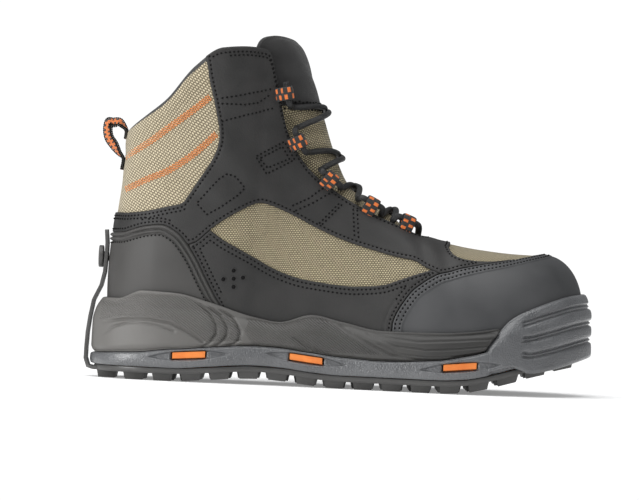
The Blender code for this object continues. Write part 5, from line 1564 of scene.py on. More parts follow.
def build_toe_cap():
    corners = in_metres([(1.06, 0.46), (1.06, 0.05)])
    outline = np.concatenate([TOE_LINE, corners])

    def relief(distance, places):
        band = 1 - ease(distance, 0.0058, 0.0068)
        seams = ridge(distance - 0.0017, 0.0005) + ridge(distance - 0.0045, 0.0005)
        return 0.0004 * band - 0.00025 * seams

    levels = (0.0003, 0.0007, 0.0011, 0.0017, 0.0045, 0.0058, 0.0063, 0.0068)
    net, faces, top = panel("Toe cap", "toe_cap", outline, levels, relief, TOE_SKIN, "toe_rubber", 0.0015, 11)
    seams = seams_on(net, faces, 3, 0.0017, top, STITCH_PITCH) + seams_on(net, faces, 3, 0.0045, top, STITCH_PITCH)
    sew("Toe cap stitching", seams, STITCH, THREAD, THREAD_AND_HOLE_SHADE, "toe_rubber")


def build_heel_counter():
    outline = np.concatenate([COUNTER_LINE, in_metres([(-0.06, 0.424), (-0.06, 0.05)])])

    def relief(distance, places):
        piping = 0.0012 * ridge(distance - 0.0015, 0.0010) + 0.0011 * ridge(distance - 0.0040, 0.0009)
        return piping - 0.0010 * (ridge(distance - 0.0028, 0.0005) + ridge(distance - 0.0054, 0.0005))

    levels = (0.0003, 0.0008, 0.0015, 0.0022, 0.0028, 0.0034, 0.0040, 0.0047, 0.0054, 0.0060, 0.0066)
    net, faces, top = panel("Heel counter", "heel_counter", outline, levels, relief, COUNTER_SKIN, "toe_rubber", 0.0016)
    sew("Heel counter stitching", seams_on(net, faces, 3, 0.0066, top, 0.0026), 0.0015, 0.0010, THREAD_AND_HOLE_SHADE, "toe_rubber")


def build_ankle_overlay():
    over_heel = HEEL_SEAM[HEEL_SEAM[:, 1] > HEEL_JOIN[1]][::-1]
    above = smooth_outline(in_metres(ANKLE_LOWER[8:-1]) + in_metres([(0.654, 0.3725), (0.671, 0.3608)]) + [TOE_JOIN], closed=False, steps=5)
    lower = np.concatenate([over_heel, [HEEL_JOIN], in_metres([(0.2075, 0.4175)]), above])
    strip = TOE_SEAM[TOE_SEAM[:, 0] > TOE_JOIN[0]]
    vamp = smooth_outline([(x / 1000, z / 1000) for x, z in VAMP_FRONT], closed=False, steps=4)
    throat = in_metres([(0.74, 0.520), (0.560, 0.700), (0.470, 0.860), (0.400, 1.10), (0.203, 1.10)])
    rear = smooth_outline(in_metres(ANKLE_REAR[:-1]), closed=False, steps=5)
    outline = np.concatenate([
        in_metres([(-0.06, 0.427)]), lower, strip, vamp[::-1], throat, rear, in_metres([(-0.06, 0.497)])
    ])

    def relief(distance, places):
        return -0.00025 * ridge(distance - 0.0022, 0.0006)

    levels = (0.0003, 0.0007, 0.0011, 0.0022, 0.0042)
    net, faces, top = panel("Ankle overlay", "ankle_overlay", outline, levels, relief, PANEL_SKIN, "black_panel", 0.0017)
    seams = seams_on(net, faces, 3, 0.0022, top, STITCH_PITCH)
    seams += seams_on(net, faces, 3, 0.0042, top, STITCH_PITCH, lambda p: (p[:, 0] < -0.098) & (p[:, 2] > 0.1))
    for side in (LATERAL, MEDIAL):
        seams.append(seam_by_mouth(side, 4.6, 13.4, 0.0034))
        seams.append(seam_by_mouth(side, 5.2, 8.6, 0.0056))
    lift = lambda rows: np.full(len(rows), FACE) + creased(on_last(rows, 0.0))
    for side in (LATERAL, MEDIAL):
        for line, closed in ANKLE_SEAMS:
            seams.append(seam_from_side(side, line, lift, STITCH_PITCH, closed))
    sew("Ankle overlay stitching", seams, STITCH, THREAD, THREAD_AND_HOLE_SHADE, "black_panel")


def build_mudguards():
    rear = HEEL_SEAM[HEEL_SEAM[:, 1] < HEEL_JOIN[1]]
    under = np.array([HEEL_JOIN] + in_metres([(0.2075, 0.4171), (0.2319, 0.4523)]))
    top = smooth_outline(in_metres(MUDGUARD_TOP) + in_metres([(0.655, 0.3525), (0.6705, 0.3600)]) + [TOE_JOIN], closed=False, steps=5)
    front = TOE_SEAM[TOE_SEAM[:, 0] < TOE_JOIN[0]][::-1]
    outline = np.concatenate([rear, under, top, front])

    def relief(distance, places):
        return -0.00025 * (ridge(distance - 0.0020, 0.0006) + ridge(distance - 0.0048, 0.0006))

    levels = (0.0003, 0.0007, 0.0011, 0.0020, 0.0048)
    for side, name, node in ((LATERAL, "Lateral mudguard", "mudguard_lateral"), (MEDIAL, "Medial mudguard", "mudguard_medial")):
        net, faces, top = panel(name, node, outline, levels, relief, PANEL_SKIN, "black_panel", 0.0018, 0, side)
        seams = seams_on(net, faces, 3, 0.0020, top, STITCH_PITCH)
        seams += seams_on(net, faces, 3, 0.0048, top, STITCH_PITCH, lambda p: p[:, 2] > 0.056)
        sew(name + " stitching", seams, STITCH, THREAD, THREAD_AND_HOLE_SHADE, "black_panel")


# Measured on the photograph's side view, in millimetres from the middle of the sole
DRAIN_HOLES = [(-67.5, 71.2), (-73.6, 65.5), (-67.3, 66.1), (-61.6, 67.0), (-67.1, 61.0)]
STRIPES = [
    [(-140.0, 139.4), (-125.1, 149.0), (-109.6, 160.5), (-94.2, 172.6), (-85.7, 180.0)],
    [(-139.1, 119.0), (-124.1, 126.1), (-111.6, 131.7), (-99.2, 139.9), (-90.0, 147.9), (-81.4, 156.6)],
]


def from_photo(pixels):
    """Places in the side view, in metres, of pixels of the photograph."""
    scale, lean = 0.0006366, math.radians(2.5)
    places = []
    for px, py in pixels:
        x, z = (px - 341.25) * scale, -(py - 372) * scale
        places.append((x * math.cos(lean) - z * math.sin(lean) + 0.00289, x * math.sin(lean) + z * math.cos(lean) + 0.00926))
    return places


ANKLE_SEAMS = [
    (from_photo([(222, 101), (240, 98), (272, 91)]), False),
    (from_photo([(222, 106), (246, 107), (258, 105), (270, 97)]), False),
    (from_photo([(222, 124), (240, 119), (274, 110)]), False),
    (from_photo([(256, 158), (284, 143), (294, 161), (267, 175)]), True),
    (from_photo([(260, 160), (282, 148), (289, 160), (268, 169)]), True),
    (from_photo([(199, 204), (207, 195), (221, 180), (229, 175), (237, 178), (246, 189), (239, 196), (222, 208), (209, 215)]), True),
    (from_photo([(291, 207), (309, 199), (321, 190), (328, 190)]), False),
    (from_photo([(294, 212), (312, 204), (330, 194)]), False),
    (from_photo([(318, 225), (339, 204)]), False),
    (from_photo([(321, 226), (342, 205)]), False),
    (from_photo([(352, 209), (354, 238)]), False),
    (from_photo([(356, 210), (358, 240)]), False),
]


def disc_on(points, faces, middle, out, rings):
    """Adds a turned shape to a mesh: rings are radius and height pairs, closed at both ends."""
    out = Vector(out).normalized()
    side = out.orthogonal().normalized()
    other = out.cross(side)
    start = len(points)
    count = 16
    for radius, height in rings:
        for k in range(count):
            turn = 2 * math.pi * k / count
            points.append(Vector(middle) + (side * math.cos(turn) + other * math.sin(turn)) * radius + out * height)
    for row in range(len(rings) - 1):
        for k in range(count):
            a, b = start + row * count + k, start + row * count + (k + 1) % count
            faces.append((a, b, b + count, a + count))
    faces.append(tuple(start + k for k in range(count))[::-1])
    last = start + (len(rings) - 1) * count
    faces.append(tuple(last + k for k in range(count)))


def build_drain_holes():
    rims, hole_shade = ([], []), ([], [])
    for side in (LATERAL, MEDIAL):
        rows = find_on_last(side, np.array(DRAIN_HOLES) / 1000)
        lift = FACE + 0.0002 + creased(on_last(rows, 0.0))
        places = on_last(rows, lift)
        outs = on_last(rows, lift + 0.001) - places
        for place, out in zip(places, outs):
            disc_on(*rims, place, out, [(0.0019, -0.0006), (0.0019, 0.00010), (0.0016, 0.00022), (0.0013, 0.00008), (0.0012, -0.0004)])
            # Black disc sunk in each eyelet: painted shade inside the drain hole.
            disc_on(*hole_shade, place, out, [(0.00125, -0.0007), (0.00125, 0.00012)])
    settle(make_piece("Drain eyelets", *rims, [PANEL_SKIN]), "black_panel")
    settle(make_piece("Drain hole shade", *hole_shade, [THREAD_AND_HOLE_SHADE]), "black_panel")


def build_stripes():
    """Two slanting stripes on the collar's side, each three rows of orange zigzag thread."""
    seams = []
    for side in (LATERAL, MEDIAL):
        for stripe in STRIPES:
            line = smooth_outline([(x / 1000, z / 1000) for x, z in stripe], closed=False, steps=10)
            length = np.append(0, np.cumsum(np.linalg.norm(np.diff(line, axis=0), axis=1)))
            marks = np.arange(0.0005, length[-1] - 0.0005, 0.0012)
            middle = np.stack([np.interp(marks, length, line[:, k]) for k in (0, 1)], axis=1)
            run = np.gradient(middle, axis=0)
            run /= np.linalg.norm(run, axis=1)[:, None]
            across = np.column_stack([-run[:, 1], run[:, 0]])
            for row in (-0.0014, 0.0, 0.0014):
                zigzag = middle + across * (row + np.where(np.arange(len(marks)) % 2, 0.0008, -0.0008)[:, None])
                rows = find_on_last(side, zigzag)
                lift = 0.00015 + creased(on_last(rows, 0.0))
                places = on_last(rows, lift)
                outs = on_last(rows, lift + 0.001) - places
                steps = places[1:] - places[:-1]
                seams.append(((places[1:] + places[:-1]) / 2, steps / np.linalg.norm(steps, axis=1)[:, None], outs[1:]))
    sew("Collar stripes", seams, 0.0021, 0.0007, ORANGE_THREAD, "webbing")


# Tongue, insole, laces


def smooth_grid(grid, rows, columns):
    """A finer grid through the rows and columns of a coarse one."""
    for axis, count in ((0, rows), (1, columns)):
        grid = np.moveaxis(grid, axis, 0)
        padded = np.concatenate([[2 * grid[0] - grid[1]], grid, [2 * grid[-1] - grid[-2]]])
        marks = np.linspace(0, len(grid) - 1, count)
        i = np.minimum(marks.astype(int), len(grid) - 2)
        u = (marks - i).reshape(-1, *([1] * (grid.ndim - 1)))
        p0, p1, p2, p3 = (padded[i + k] for k in range(4))
        grid = 0.5 * (2 * p1 + (p2 - p0) * u + (2 * p0 - 5 * p1 + 4 * p2 - p3) * u * u + (3 * p1 - p0 - 3 * p2 + p3) * u**3)
        grid = np.moveaxis(grid, 0, axis)
    return grid


def slab_piece(name, top, bottom, materials, slots=None, uv=None):
    """A closed piece between two grids of points, its slot numbers by row of faces."""
    rows, columns = top.shape[:2]
    under = rows * columns
    i, j = (g.ravel() for g in np.meshgrid(np.arange(rows - 1), np.arange(columns - 1), indexing="ij"))
    here = i * columns + j
    upper = np.column_stack([here, here + 1, here + columns + 1, here + columns])
    rim = list(range(columns)) + [(k + 1) * columns - 1 for k in range(1, rows)]
    rim += [(rows - 1) * columns + k for k in range(columns - 2, -1, -1)] + [k * columns for k in range(rows - 2, 0, -1)]
    rim = np.array(rim)
    ahead = np.roll(rim, -1)
    walls = np.column_stack([ahead, rim, rim + under, ahead + under])
    faces = np.concatenate([upper, upper[:, ::-1] + under, walls])
    points = np.concatenate([top.reshape(-1, 3), bottom.reshape(-1, 3)])
    if slots is not None:
        face_slots = slots(i, j)
        slots = np.concatenate([face_slots, np.full(len(face_slots), len(materials) - 1), np.full(len(walls), len(materials) - 1)])
    piece = make_piece(name, points, faces, materials, slots)
    shape = bmesh.new()
    shape.from_mesh(piece.data)
    if shape.calc_volume(signed=True) < 0:
        bmesh.ops.reverse_faces(shape, faces=shape.faces)
        shape.to_mesh(piece.data)
    shape.free()
    if uv is not None:
        uv = np.asarray(uv).reshape(-1, 2)
        cloth_map(piece, uv_name_of(materials[0]), np.concatenate([uv, uv]))
    return piece


def uv_name_of(material):
    return {"Loop tape": "Tape", "Pull loop tape": "Tape"}.get(material.name, "Cloth")


def face_normals(grid):
    normal = np.cross(np.gradient(grid, axis=1), np.gradient(grid, axis=0))
    return normal / np.maximum(np.linalg.norm(normal, axis=2), 1e-9)[:, :, None]


def build_tongue():
    ribs = np.concatenate([[6.55, 6.8], np.arange(7.0, 13.01, 0.25)])
    rows = [tongue_section(r, float(TONGUE_CURVES[0](r)), float(TONGUE_CURVES[1](r))) for r in ribs]
    for rib, climb in TONGUE_UNDER_VAMP:
        half = []
        for side in (LATERAL, MEDIAL):
            climbs = np.linspace(climb, 1.0, ACROSS // 2 + 2)
            below = upper_wall(np.full(len(climbs), rib), climbs) + TONGUE_CLEARANCE
            half.append(form_point(side, np.full(len(climbs), rib), climbs, -below))
        rows.append(np.concatenate([half[0], half[1][-2::-1]]))
    grid = smooth_grid(np.array(rows), 170, 61)
    high = np.clip((grid[:, :, 2].max() - grid[:, :, 2]) / 0.034, 0, 1)
    grid[:, :, 2] -= 0.0050 * (1 - high) ** 1.5 * np.abs(np.linspace(-1, 1, 61))[None, :] ** 1.6
    normal = face_normals(grid)
    centre = grid.mean(axis=(0, 1)) - np.array([0.02, 0, 0.02])
    normal *= np.sign(np.sum(normal * (grid - centre), axis=2).mean())
    down = np.append(0, np.cumsum(np.linalg.norm(np.diff(grid[:, 30], axis=0), axis=1)))
    across = np.linalg.norm(np.diff(grid, axis=1), axis=2)
    from_left = np.concatenate([np.zeros((170, 1)), np.cumsum(across, axis=1)], axis=1)
    to_edge = np.minimum(from_left, from_left[:, -1:] - from_left)
    share = np.sin(np.linspace(0, math.pi, 61))[None, :]
    ends = np.minimum(1, (169 - np.arange(170)) / 25)[:, None]
    wall = TONGUE_EDGE + (TONGUE_WALL - TONGUE_EDGE) * share * ends
    rounded = edge_round(np.minimum(to_edge + 0.0, down[:, None]), wall / 2)
    height = grid[:, :, 2]
    seam = ridge(height - 0.1765, 0.0011)
    puff = 0.0009 * share * ease(down, 0.0, 0.010)[:, None] * (1 - seam)
    folds = 0.0005 * np.sin(height / 0.0046 + 3 * np.sin(grid[:, :, 1] / 0.011)) * ridge(height - 0.198, 0.014) * share
    relief = puff + folds - 0.0012 * seam * share
    relief = np.where(np.arange(170)[:, None] > 118, 0, relief)
    middle = grid - normal * (wall / 2)[:, :, None]
    top = middle + normal * (wall / 2 * rounded + relief)[:, :, None]
    bottom = middle - normal * (wall / 2 * rounded)[:, :, None]
    uv = np.stack([from_left - from_left[:, 30:31], np.repeat(-down[:, None], 61, axis=1)], axis=-1)
    khaki_rows = height[:-1, :-1] < 0.1765
    piece = slab_piece(
        "Padded tongue", top, bottom, [KHAKI, KNIT, LINING],
        lambda i, j: np.where(khaki_rows[i, j], 0, 1), uv,
    )
    settle(piece, "black_knit", "tongue")
    sew_rows = []
    for level in (0.1790, 0.1742):
        k = np.argmin(np.abs(height[:100] - level), axis=0)
        line = top[k, np.arange(61)][8:-8]
        sew_rows.append(pace(line, normal[k, np.arange(61)][8:-8], 0.0028))
    sew("Tongue stitching", sew_rows, STITCH, THREAD, THREAD_AND_HOLE_SHADE, "black_knit")


def build_insole():
    xs = np.concatenate([HEEL_X + FEATHER_INSET + HEEL_INSET + 0.0042 + 0.004 * np.linspace(0, 1, 6) ** 2,
                         np.linspace(HEEL_X + 0.026, 0.138, 90)])
    columns = np.linspace(-1, 1, 33)
    top, bottom = [], []
    for x in xs:
        heel = np.clip(1 - (x - HEEL_X) / 0.055, 0, 1)
        inset = FEATHER_INSET + HEEL_INSET * heel + UPPER_WALL + INSOLE_CLEARANCE + 0.0004
        halves = [max(abs(edge_width(side, x)) - inset, 0.004) for side in (LATERAL, MEDIAL)]
        y = np.where(columns < 0, columns * halves[0], columns * halves[1])
        floor = float(foot_floor(x))
        dish = 0.0012 * columns**4 - 0.0006
        top.append(np.column_stack([np.full(33, x), y, floor + INSOLE + dish]))
        bottom.append(np.column_stack([np.full(33, x), y, np.full(33, floor + 0.0002)]))
    piece = slab_piece("Insole", np.array(top), np.array(bottom), [INSOLE_CLOTH])
    settle(piece, "insole_foam", "insole")


def swept_tape(points, normals, sides, width, wall, pitch=None):
    """Grids of a tape's two faces from its middle line, normals and directions across it."""
    across = np.linspace(-0.5, 0.5, 9)
    crown = wall / 2 * np.sqrt(np.maximum(1 - (np.abs(across) * 2) ** 6, 0.05))
    spread = points[:, None] + sides[:, None] * (across * width)[None, :, None]
    top = spread + normals[:, None] * crown[None, :, None]
    bottom = spread - normals[:, None] * crown[None, :, None]
    along = np.append(0, np.cumsum(np.linalg.norm(np.diff(points, axis=0), axis=1)))
    uv = np.stack(np.broadcast_arrays(across[None, :] + 0.5, along[:, None]), axis=-1)
    return top, bottom, uv


def build_loops():
    for side, label in ((LATERAL, "lateral"), (MEDIAL, "medial")):
        for number, rib in enumerate(LOOP_ROWS, 1):
            centre, run, inward, normal, ring = loop_axis(side, rib)
            per_rib = run_per_rib(side, rib)
            middle_ring = ring - LOOP_WALL / 2
            columns = []
            for end in np.linspace(-0.5, 0.5, 9):
                place = rib + end * LOOP_WIDTH / per_rib
                shifted = centre + run * end * LOOP_WIDTH
                line = []
                for distance in (0.0060, 0.0036, 0.0012):
                    line.append(form_point(side, *walk_in(side, place, distance), 0.0002))
                for turn in np.radians(np.linspace(-92, 172, 22)):
                    line.append(shifted + (inward * math.cos(turn) + normal * math.sin(turn)) * middle_ring)
                for distance, height in ((0.0018, 0.0030), (0.0024, 0.0012), (0.0042, 0.0009), (0.0060, 0.0009)):
                    line.append(form_point(side, *walk_in(side, place, distance), height))
                columns.append(line)
            grid = smooth_grid(np.array(columns).transpose(1, 0, 2), 60, 9)
            out = face_normals(grid)
            away = np.sign(np.sum(out[30] * (grid[30] - centre), axis=1).mean())
            out *= away
            crown = LOOP_WALL / 2 * np.sqrt(np.maximum(1 - np.abs(np.linspace(-1, 1, 9)) ** 6, 0.05))
            along = np.append(0, np.cumsum(np.linalg.norm(np.diff(grid[:, 4], axis=0), axis=1)))
            uv = np.stack(np.broadcast_arrays(np.linspace(0, 1, 9)[None, :], along[:, None]), axis=-1)
            piece = slab_piece(
                f"Lace loop {label} {number}", grid + out * crown[None, :, None], grid - out * crown[None, :, None],
                [LOOP_TAPE], None, uv,
            )
            settle(piece, "webbing", f"lace_loop_{label}_{number}")


def corded(name, route, radius, finish):
    """A round cord along a route, closed at its ends, with its length on its UV map."""
    route = smooth_route(route, 0.0012)
    along = np.gradient(route, axis=0)
    along /= np.linalg.norm(along, axis=1)[:, None]
    frame_side = np.cross(along[0], [0, 0, 1.0])
    frame_side /= np.linalg.norm(frame_side)
    count = 18
    turns = np.linspace(0, 2 * math.pi, count, endpoint=False)
    rings, lengths = [], np.append(0, np.cumsum(np.linalg.norm(np.diff(route, axis=0), axis=1)))
    for here, ahead in zip(route, along):
        frame_side = frame_side - ahead * (frame_side @ ahead)
        frame_side /= np.linalg.norm(frame_side)
        other = np.cross(ahead, frame_side)
        rings.append(here + (np.cos(turns)[:, None] * frame_side + np.sin(turns)[:, None] * other) * radius)
    points = np.concatenate(rings)
    faces = []
    for row in range(len(rings) - 1):
        for k in range(count):
            a, b = row * count + k, row * count + (k + 1) % count
            faces.append((a, b, b + count, a + count))
    faces.append(tuple(range(count))[::-1])
    faces.append(tuple((len(rings) - 1) * count + k for k in range(count)))
    uv = np.column_stack([np.tile(np.abs(np.linspace(-1, 1, count, endpoint=False)), len(rings)), np.repeat(lengths, count)])
    return points, faces, uv


def build_lace():
    """One lace: two strands crossing over the tongue and the bar at the bottom row."""
    lift = LACE / 2 + LACE_OVER_TONGUE
    rows = LOOP_ROWS[::-1]
    routes = []
    for start_side, shift in ((LATERAL, 0.0017), (MEDIAL, -0.0017)):
        side = start_side
        points = []
        for k, rib in enumerate(rows):
            centre, run, _, _, _ = loop_axis(side, rib)
            for step in (0.85, 0.0, -0.85):
                points.append(centre + run * step * LOOP_WIDTH)
            if k < len(rows) - 1:
                begin = 0.0 if side == LATERAL else 1.0
                drop = 0.13 if side == MEDIAL else -0.13
                over = lace_over_tongue(rib, rows[k + 1], begin, 1.0 - begin, lift, drop)
                lower = lace_over_tongue(rib, rows[k + 1], begin, 1.0 - begin, lift + 0.001, drop)
                way = shift * (1 if k % 2 == 0 else -1)
                amounts = (0.0, 0.1, 0.5, 1.0, 0.4) if side == MEDIAL else (0.4, 1.0, 0.5, 0.1, 0.0)
                for near, far, amount in zip(over, lower, amounts):
                    points.append(near + (far - near) / 0.001 * way * amount)
                side = -side
        routes.append(points)
    bar = []
    for side, order in ((LATERAL, 1), (MEDIAL, -1)):
        centre, run, _, _, _ = loop_axis(side, rows[0])
        bar.append([centre + run * step * LOOP_WIDTH for step in (0.85,)][::order])
    over = [throat_surface(rows[0] + 0.62, share) for share in (0.25, 0.5, 0.75)]
    over = [p + np.array([0.35, 0, 0.94]) * (lift + 0.0002) for p in over]
    points, faces, uv = corded("Lace", routes[0][::-1] + over + routes[1], LACE * 0.54, CORD)
    piece = make_piece("Lace", points, faces, [CORD])
    cloth_map(piece, "Cord", uv)
    settle(piece, "lace_cord", "lace_crossings")


def build_pull_loop():
    """Tape loop at the back of the collar, both its ends sewn down."""

    def back(height):
        climb = climb_at_height(LATERAL, np.array([0.0]), np.array([height]))
        return float(form_point(LATERAL, np.array([0.0]), climb, np.array([0.0]))[0][0])

    low, high = PULL_LOW * BOOT_HEIGHT, PULL_HIGH * BOOT_HEIGHT
    seat = GAP + PULL_WALL / 2 + 0.0003
    route = [
        (back(low - 0.007) - seat, low - 0.007),
        (back(low) - seat, low),
        (back(low) - seat - 0.0035, low + 0.0035),
        (back(low) - 0.0085, low + 0.0075),
        (back(low) - 0.0122, low + 0.0125),
        (back(low) - 0.0135, low + 0.0185),
        (back(low) - 0.0125, low + 0.0240),
        (back(high) - 0.0105, high + 0.0050),
        (back(high) - 0.0062, high + 0.0052),
        (back(high) - seat - 0.0018, high + 0.0020),
        (back(high) - seat, high - 0.0015),
        (back(high - 0.0065) - seat, high - 0.0065),
    ]
    line = smooth_route([(x, 0.0, z) for x, z in route], 0.0007)
    run = np.gradient(line, axis=0)
    run /= np.linalg.norm(run, axis=1)[:, None]
    side = np.tile([0.0, 1.0, 0.0], (len(line), 1))
    out = np.cross(side, run)
    share = np.linspace(0, 1, len(line))
    lean = 0.50 * (ease(share, 0.10, 0.35) * ease(share, 0.92, 0.72))[:, None]
    inward = out * np.sign(np.sum(out * (line.mean(0) - line), axis=1).mean())
    side = side - inward * lean
    side /= np.linalg.norm(side, axis=1)[:, None]
    out = np.cross(side, run)
    line = line + inward * lean * 0.0026
    top, bottom, uv = swept_tape(line, out, side, PULL_WIDTH, PULL_WALL)
    piece = slab_piece("Pull loop", top, bottom, [PULL_TAPE], None, uv)
    settle(piece, "webbing", "pull_loop")
    edges = []
    for place in (-0.46, 0.46):
        for face in (top, bottom):
            row = line + side * PULL_WIDTH * place + (face[:, 4] - line)
            edges.append(pace(row, face[:, 4] - line, 0.0012))
    sew("Pull loop edging", edges, 0.0014, 0.0009, THREAD_AND_HOLE_SHADE, "webbing")


# Sole: midsole cup, chassis with its bumper, tread and strap

SOLE_SHARES = np.unique(np.concatenate([np.linspace(0, 1, 430), np.linspace(0, 0.05, 40), np.linspace(0.93, 1, 40)]))
SOLE_RIBS = rib_at_share(SOLE_SHARES)
LIFT_STEPS = np.linspace(0, 1, 201)
SOLE_LIFTS = {side: rib_point(side, SOLE_RIBS[:, None], LIFT_STEPS[None, :])[..., 2] for side in (LATERAL, MEDIAL)}


def sole_climbs(side, heights):
    return np.array([np.interp(h, lift, LIFT_STEPS) for h, lift in zip(heights, SOLE_LIFTS[side])])


def loop_of(rows):
    """Rows of points for each side, heel to toe, made rings round the sole."""
    return np.concatenate([rows[LATERAL], rows[MEDIAL][:, -2:0:-1]], axis=1)


def ring_piece(name, rings, finish, caps=(True, True), values=None):
    """A closed piece lofted through rings, bridged across where it is capped."""
    rows, count = rings.shape[:2]
    i, j = (g.ravel() for g in np.meshgrid(np.arange(rows - 1), np.arange(count), indexing="ij"))
    ahead = (j + 1) % count
    faces = [np.column_stack([i * count + j, i * count + ahead, (i + 1) * count + ahead, (i + 1) * count + j])]
    for cap, row in zip(caps, (0, rows - 1)):
        if not cap:
            continue
        half = np.arange(1, count // 2)
        other = count - half
        base = row * count
        quads = np.column_stack([half[:-1], half[1:], other[1:], other[:-1]]) + base
        tips = [(base, base + 1, base + 1, base + count - 1), (base + count // 2, base + count // 2 + 1, base + count // 2 + 1, base + count // 2 - 1)]
        quads = np.concatenate([quads, tips])
        faces.append(quads if row == 0 else quads[:, ::-1])
    triangles = []
    for quad in np.concatenate(faces):
        ring = list(dict.fromkeys(quad.tolist()))
        triangles.append(tuple(ring))
    piece = make_piece(name, rings.reshape(-1, 3), triangles, [finish])
    shape = bmesh.new()
    shape.from_mesh(piece.data)
    if shape.calc_volume(signed=True) < 0:
        bmesh.ops.reverse_faces(shape, faces=shape.faces)
        shape.to_mesh(piece.data)
    shape.free()
    if values is not None:
        for title, value in values.items():
            point_value(piece, title, value.ravel())
    return piece


# Ridges and lines moulded into the midsole's side: line, half width, height
MIDSOLE_LINES = [
    # heel crescent and the ridges in front of it
    ([(99, 322), (110, 320), (125, 318), (151, 318), (173, 322), (191, 331), (205, 340)], 0.0009, -0.0018),
    ([(97, 340), (106, 332), (116, 325), (127, 322), (139, 321), (160, 324), (176, 330)], 0.0008, -0.0013),
    ([(180, 291), (201, 302), (212, 312), (218, 324), (218, 332), (212, 341), (205, 345)], 0.0008, -0.0017),
    ([(187, 291), (210, 304), (222, 314), (229, 326), (228, 334), (223, 341), (216, 345)], 0.0008, -0.0017),
    ([(196, 292), (219, 306), (235, 317), (242, 330), (240, 338), (236, 342), (230, 344)], 0.0008, -0.0017),
    # corner crease at the back of the heel and the soft rim above it
    ([(99, 297), (101, 310), (98, 330), (94, 342)], 0.0012, -0.0009),
    ([(113, 299), (130, 296), (150, 294), (170, 296), (190, 291)], 0.0014, -0.0007),
    # sweep and crease at the waist
    ([(330, 316), (340, 324), (353, 333), (372, 344), (390, 353), (420, 358), (438, 358)], 0.0009, -0.0012),
    ([(295, 337), (307, 345), (320, 350)], 0.0011, -0.0010),
    ([(250, 317), (285, 309), (318, 309)], 0.0012, -0.0008),
    # long contour ridges along the forefoot
    ([(345, 322), (362, 328), (390, 332), (423, 334), (456, 333), (494, 331)], 0.0007, -0.0007),
    ([(358, 327), (382, 335), (415, 340), (456, 339), (493, 337)], 0.0007, -0.0008),
    ([(366, 332), (393, 344), (423, 348), (456, 347), (489, 344)], 0.0007, -0.0008),
    ([(378, 342), (398, 352), (426, 355), (453, 354), (484, 350)], 0.0007, -0.0008),
]
HATCHED = [
    [(103, 298), (140, 290), (186, 293), (240, 320), (245, 340), (207, 341), (190, 329), (173, 320), (151, 316), (124, 316), (100, 320)],
    [(250, 317), (290, 312), (318, 312), (336, 324), (368, 345), (385, 354), (255, 348), (245, 330)],
]
STIPPLED = [(108, 326), (124, 318), (150, 316), (172, 319), (188, 329), (176, 338), (150, 341), (122, 340)]


def build_midsole():
    count = len(SOLE_SHARES)
    out_levels = np.concatenate([[0.0, 0.02, 0.05], np.linspace(0.08, 0.94, 58)])
    grow_at = smooth_column([0, 0.05, 0.12, 0.58, 0.82, 0.94], [-0.0026, -0.0009, -0.0002, -0.0005, -0.0026, -0.0050])
    rows = {}
    for side in (LATERAL, MEDIAL):
        edge, outward = edge_point(side, SOLE_SHARES, 0.0)
        x = edge[:, 0]
        base = chassis_top(x) + MIDSOLE_SEAT
        rim = midsole_rim(x)
        along = (x - HEEL_X) / SOLE_LENGTH
        bumper = np.where(along > 0.775, BUMPER_TOP(np.clip(along, 0.78, 1.0)) * BOOT_HEIGHT, -1.0)
        side_rows = []
        for level in out_levels:
            height = base + level * (rim - base)
            climb = sole_climbs(side, height)
            inside = form_point(side, SOLE_RIBS, climb, np.full(count, CUP_OFFSET))
            clear = np.sum((inside[:, :2] - edge) * outward, axis=1)
            above = height > foot_floor(x)
            out = np.full(count, float(grow_at(level)))
            tuck = ease(bumper - height, -0.0004, 0.0016)
            out = np.where(above, np.maximum(out - 0.0045 * tuck, clear + RIM_WALL - (RIM_WALL - 0.0006) * tuck), out - 0.0030 * tuck)
            side_view = np.column_stack([x, height])
            relief = np.zeros(count)
            for line, width, lift in MIDSOLE_LINES:
                relief += lift * groove_along(side_view, from_photo(line), width)
            waist = ridge((x - 0.072) / 0.055, 1.0) * ridge(level - 0.45, 0.35)
            relief -= 0.0007 * waist
            heel_round = ease(x, HEEL_X + 0.006, HEEL_X + 0.018)
            out = out + relief * heel_round * (1 - tuck) * edge_round(level, 0.06) * (1 - ease(level, 0.86, 0.93))
            plan, _ = edge_point(side, SOLE_SHARES, out)
            side_rows.append(np.column_stack([plan, height]))
        at_rim = sole_climbs(side, rim)
        for share, offset in ((0.985, 0.95 * RIM_WALL), (0.998, 0.72 * RIM_WALL), (1.003, 0.45 * RIM_WALL), (0.996, 0.12 * RIM_WALL), (0.97, 0.0), (0.6, 0.0), (0.0, 0.0)):
            points = form_point(side, SOLE_RIBS, np.minimum(at_rim * share, 1), np.full(count, CUP_OFFSET + offset))
            if share == 0.0:
                points[:, 2] = foot_floor(x) - GAP
            side_rows.append(points)
        rows[side] = np.array(side_rows)
    rings = loop_of(rows)
    flat = rings.reshape(-1, 3)[:, [0, 2]]
    mask = np.zeros(len(flat))
    for outline in HATCHED:
        mask = np.maximum(mask, ease(outline_distance(flat, from_photo(outline)), 0.0, 0.0012))
    mask[len(out_levels) * rings.shape[1]:] = 0
    piece = ring_piece("Midsole", rings, FOAM, values={"hatch": mask})
    settle(piece, "midsole_foam", "midsole")


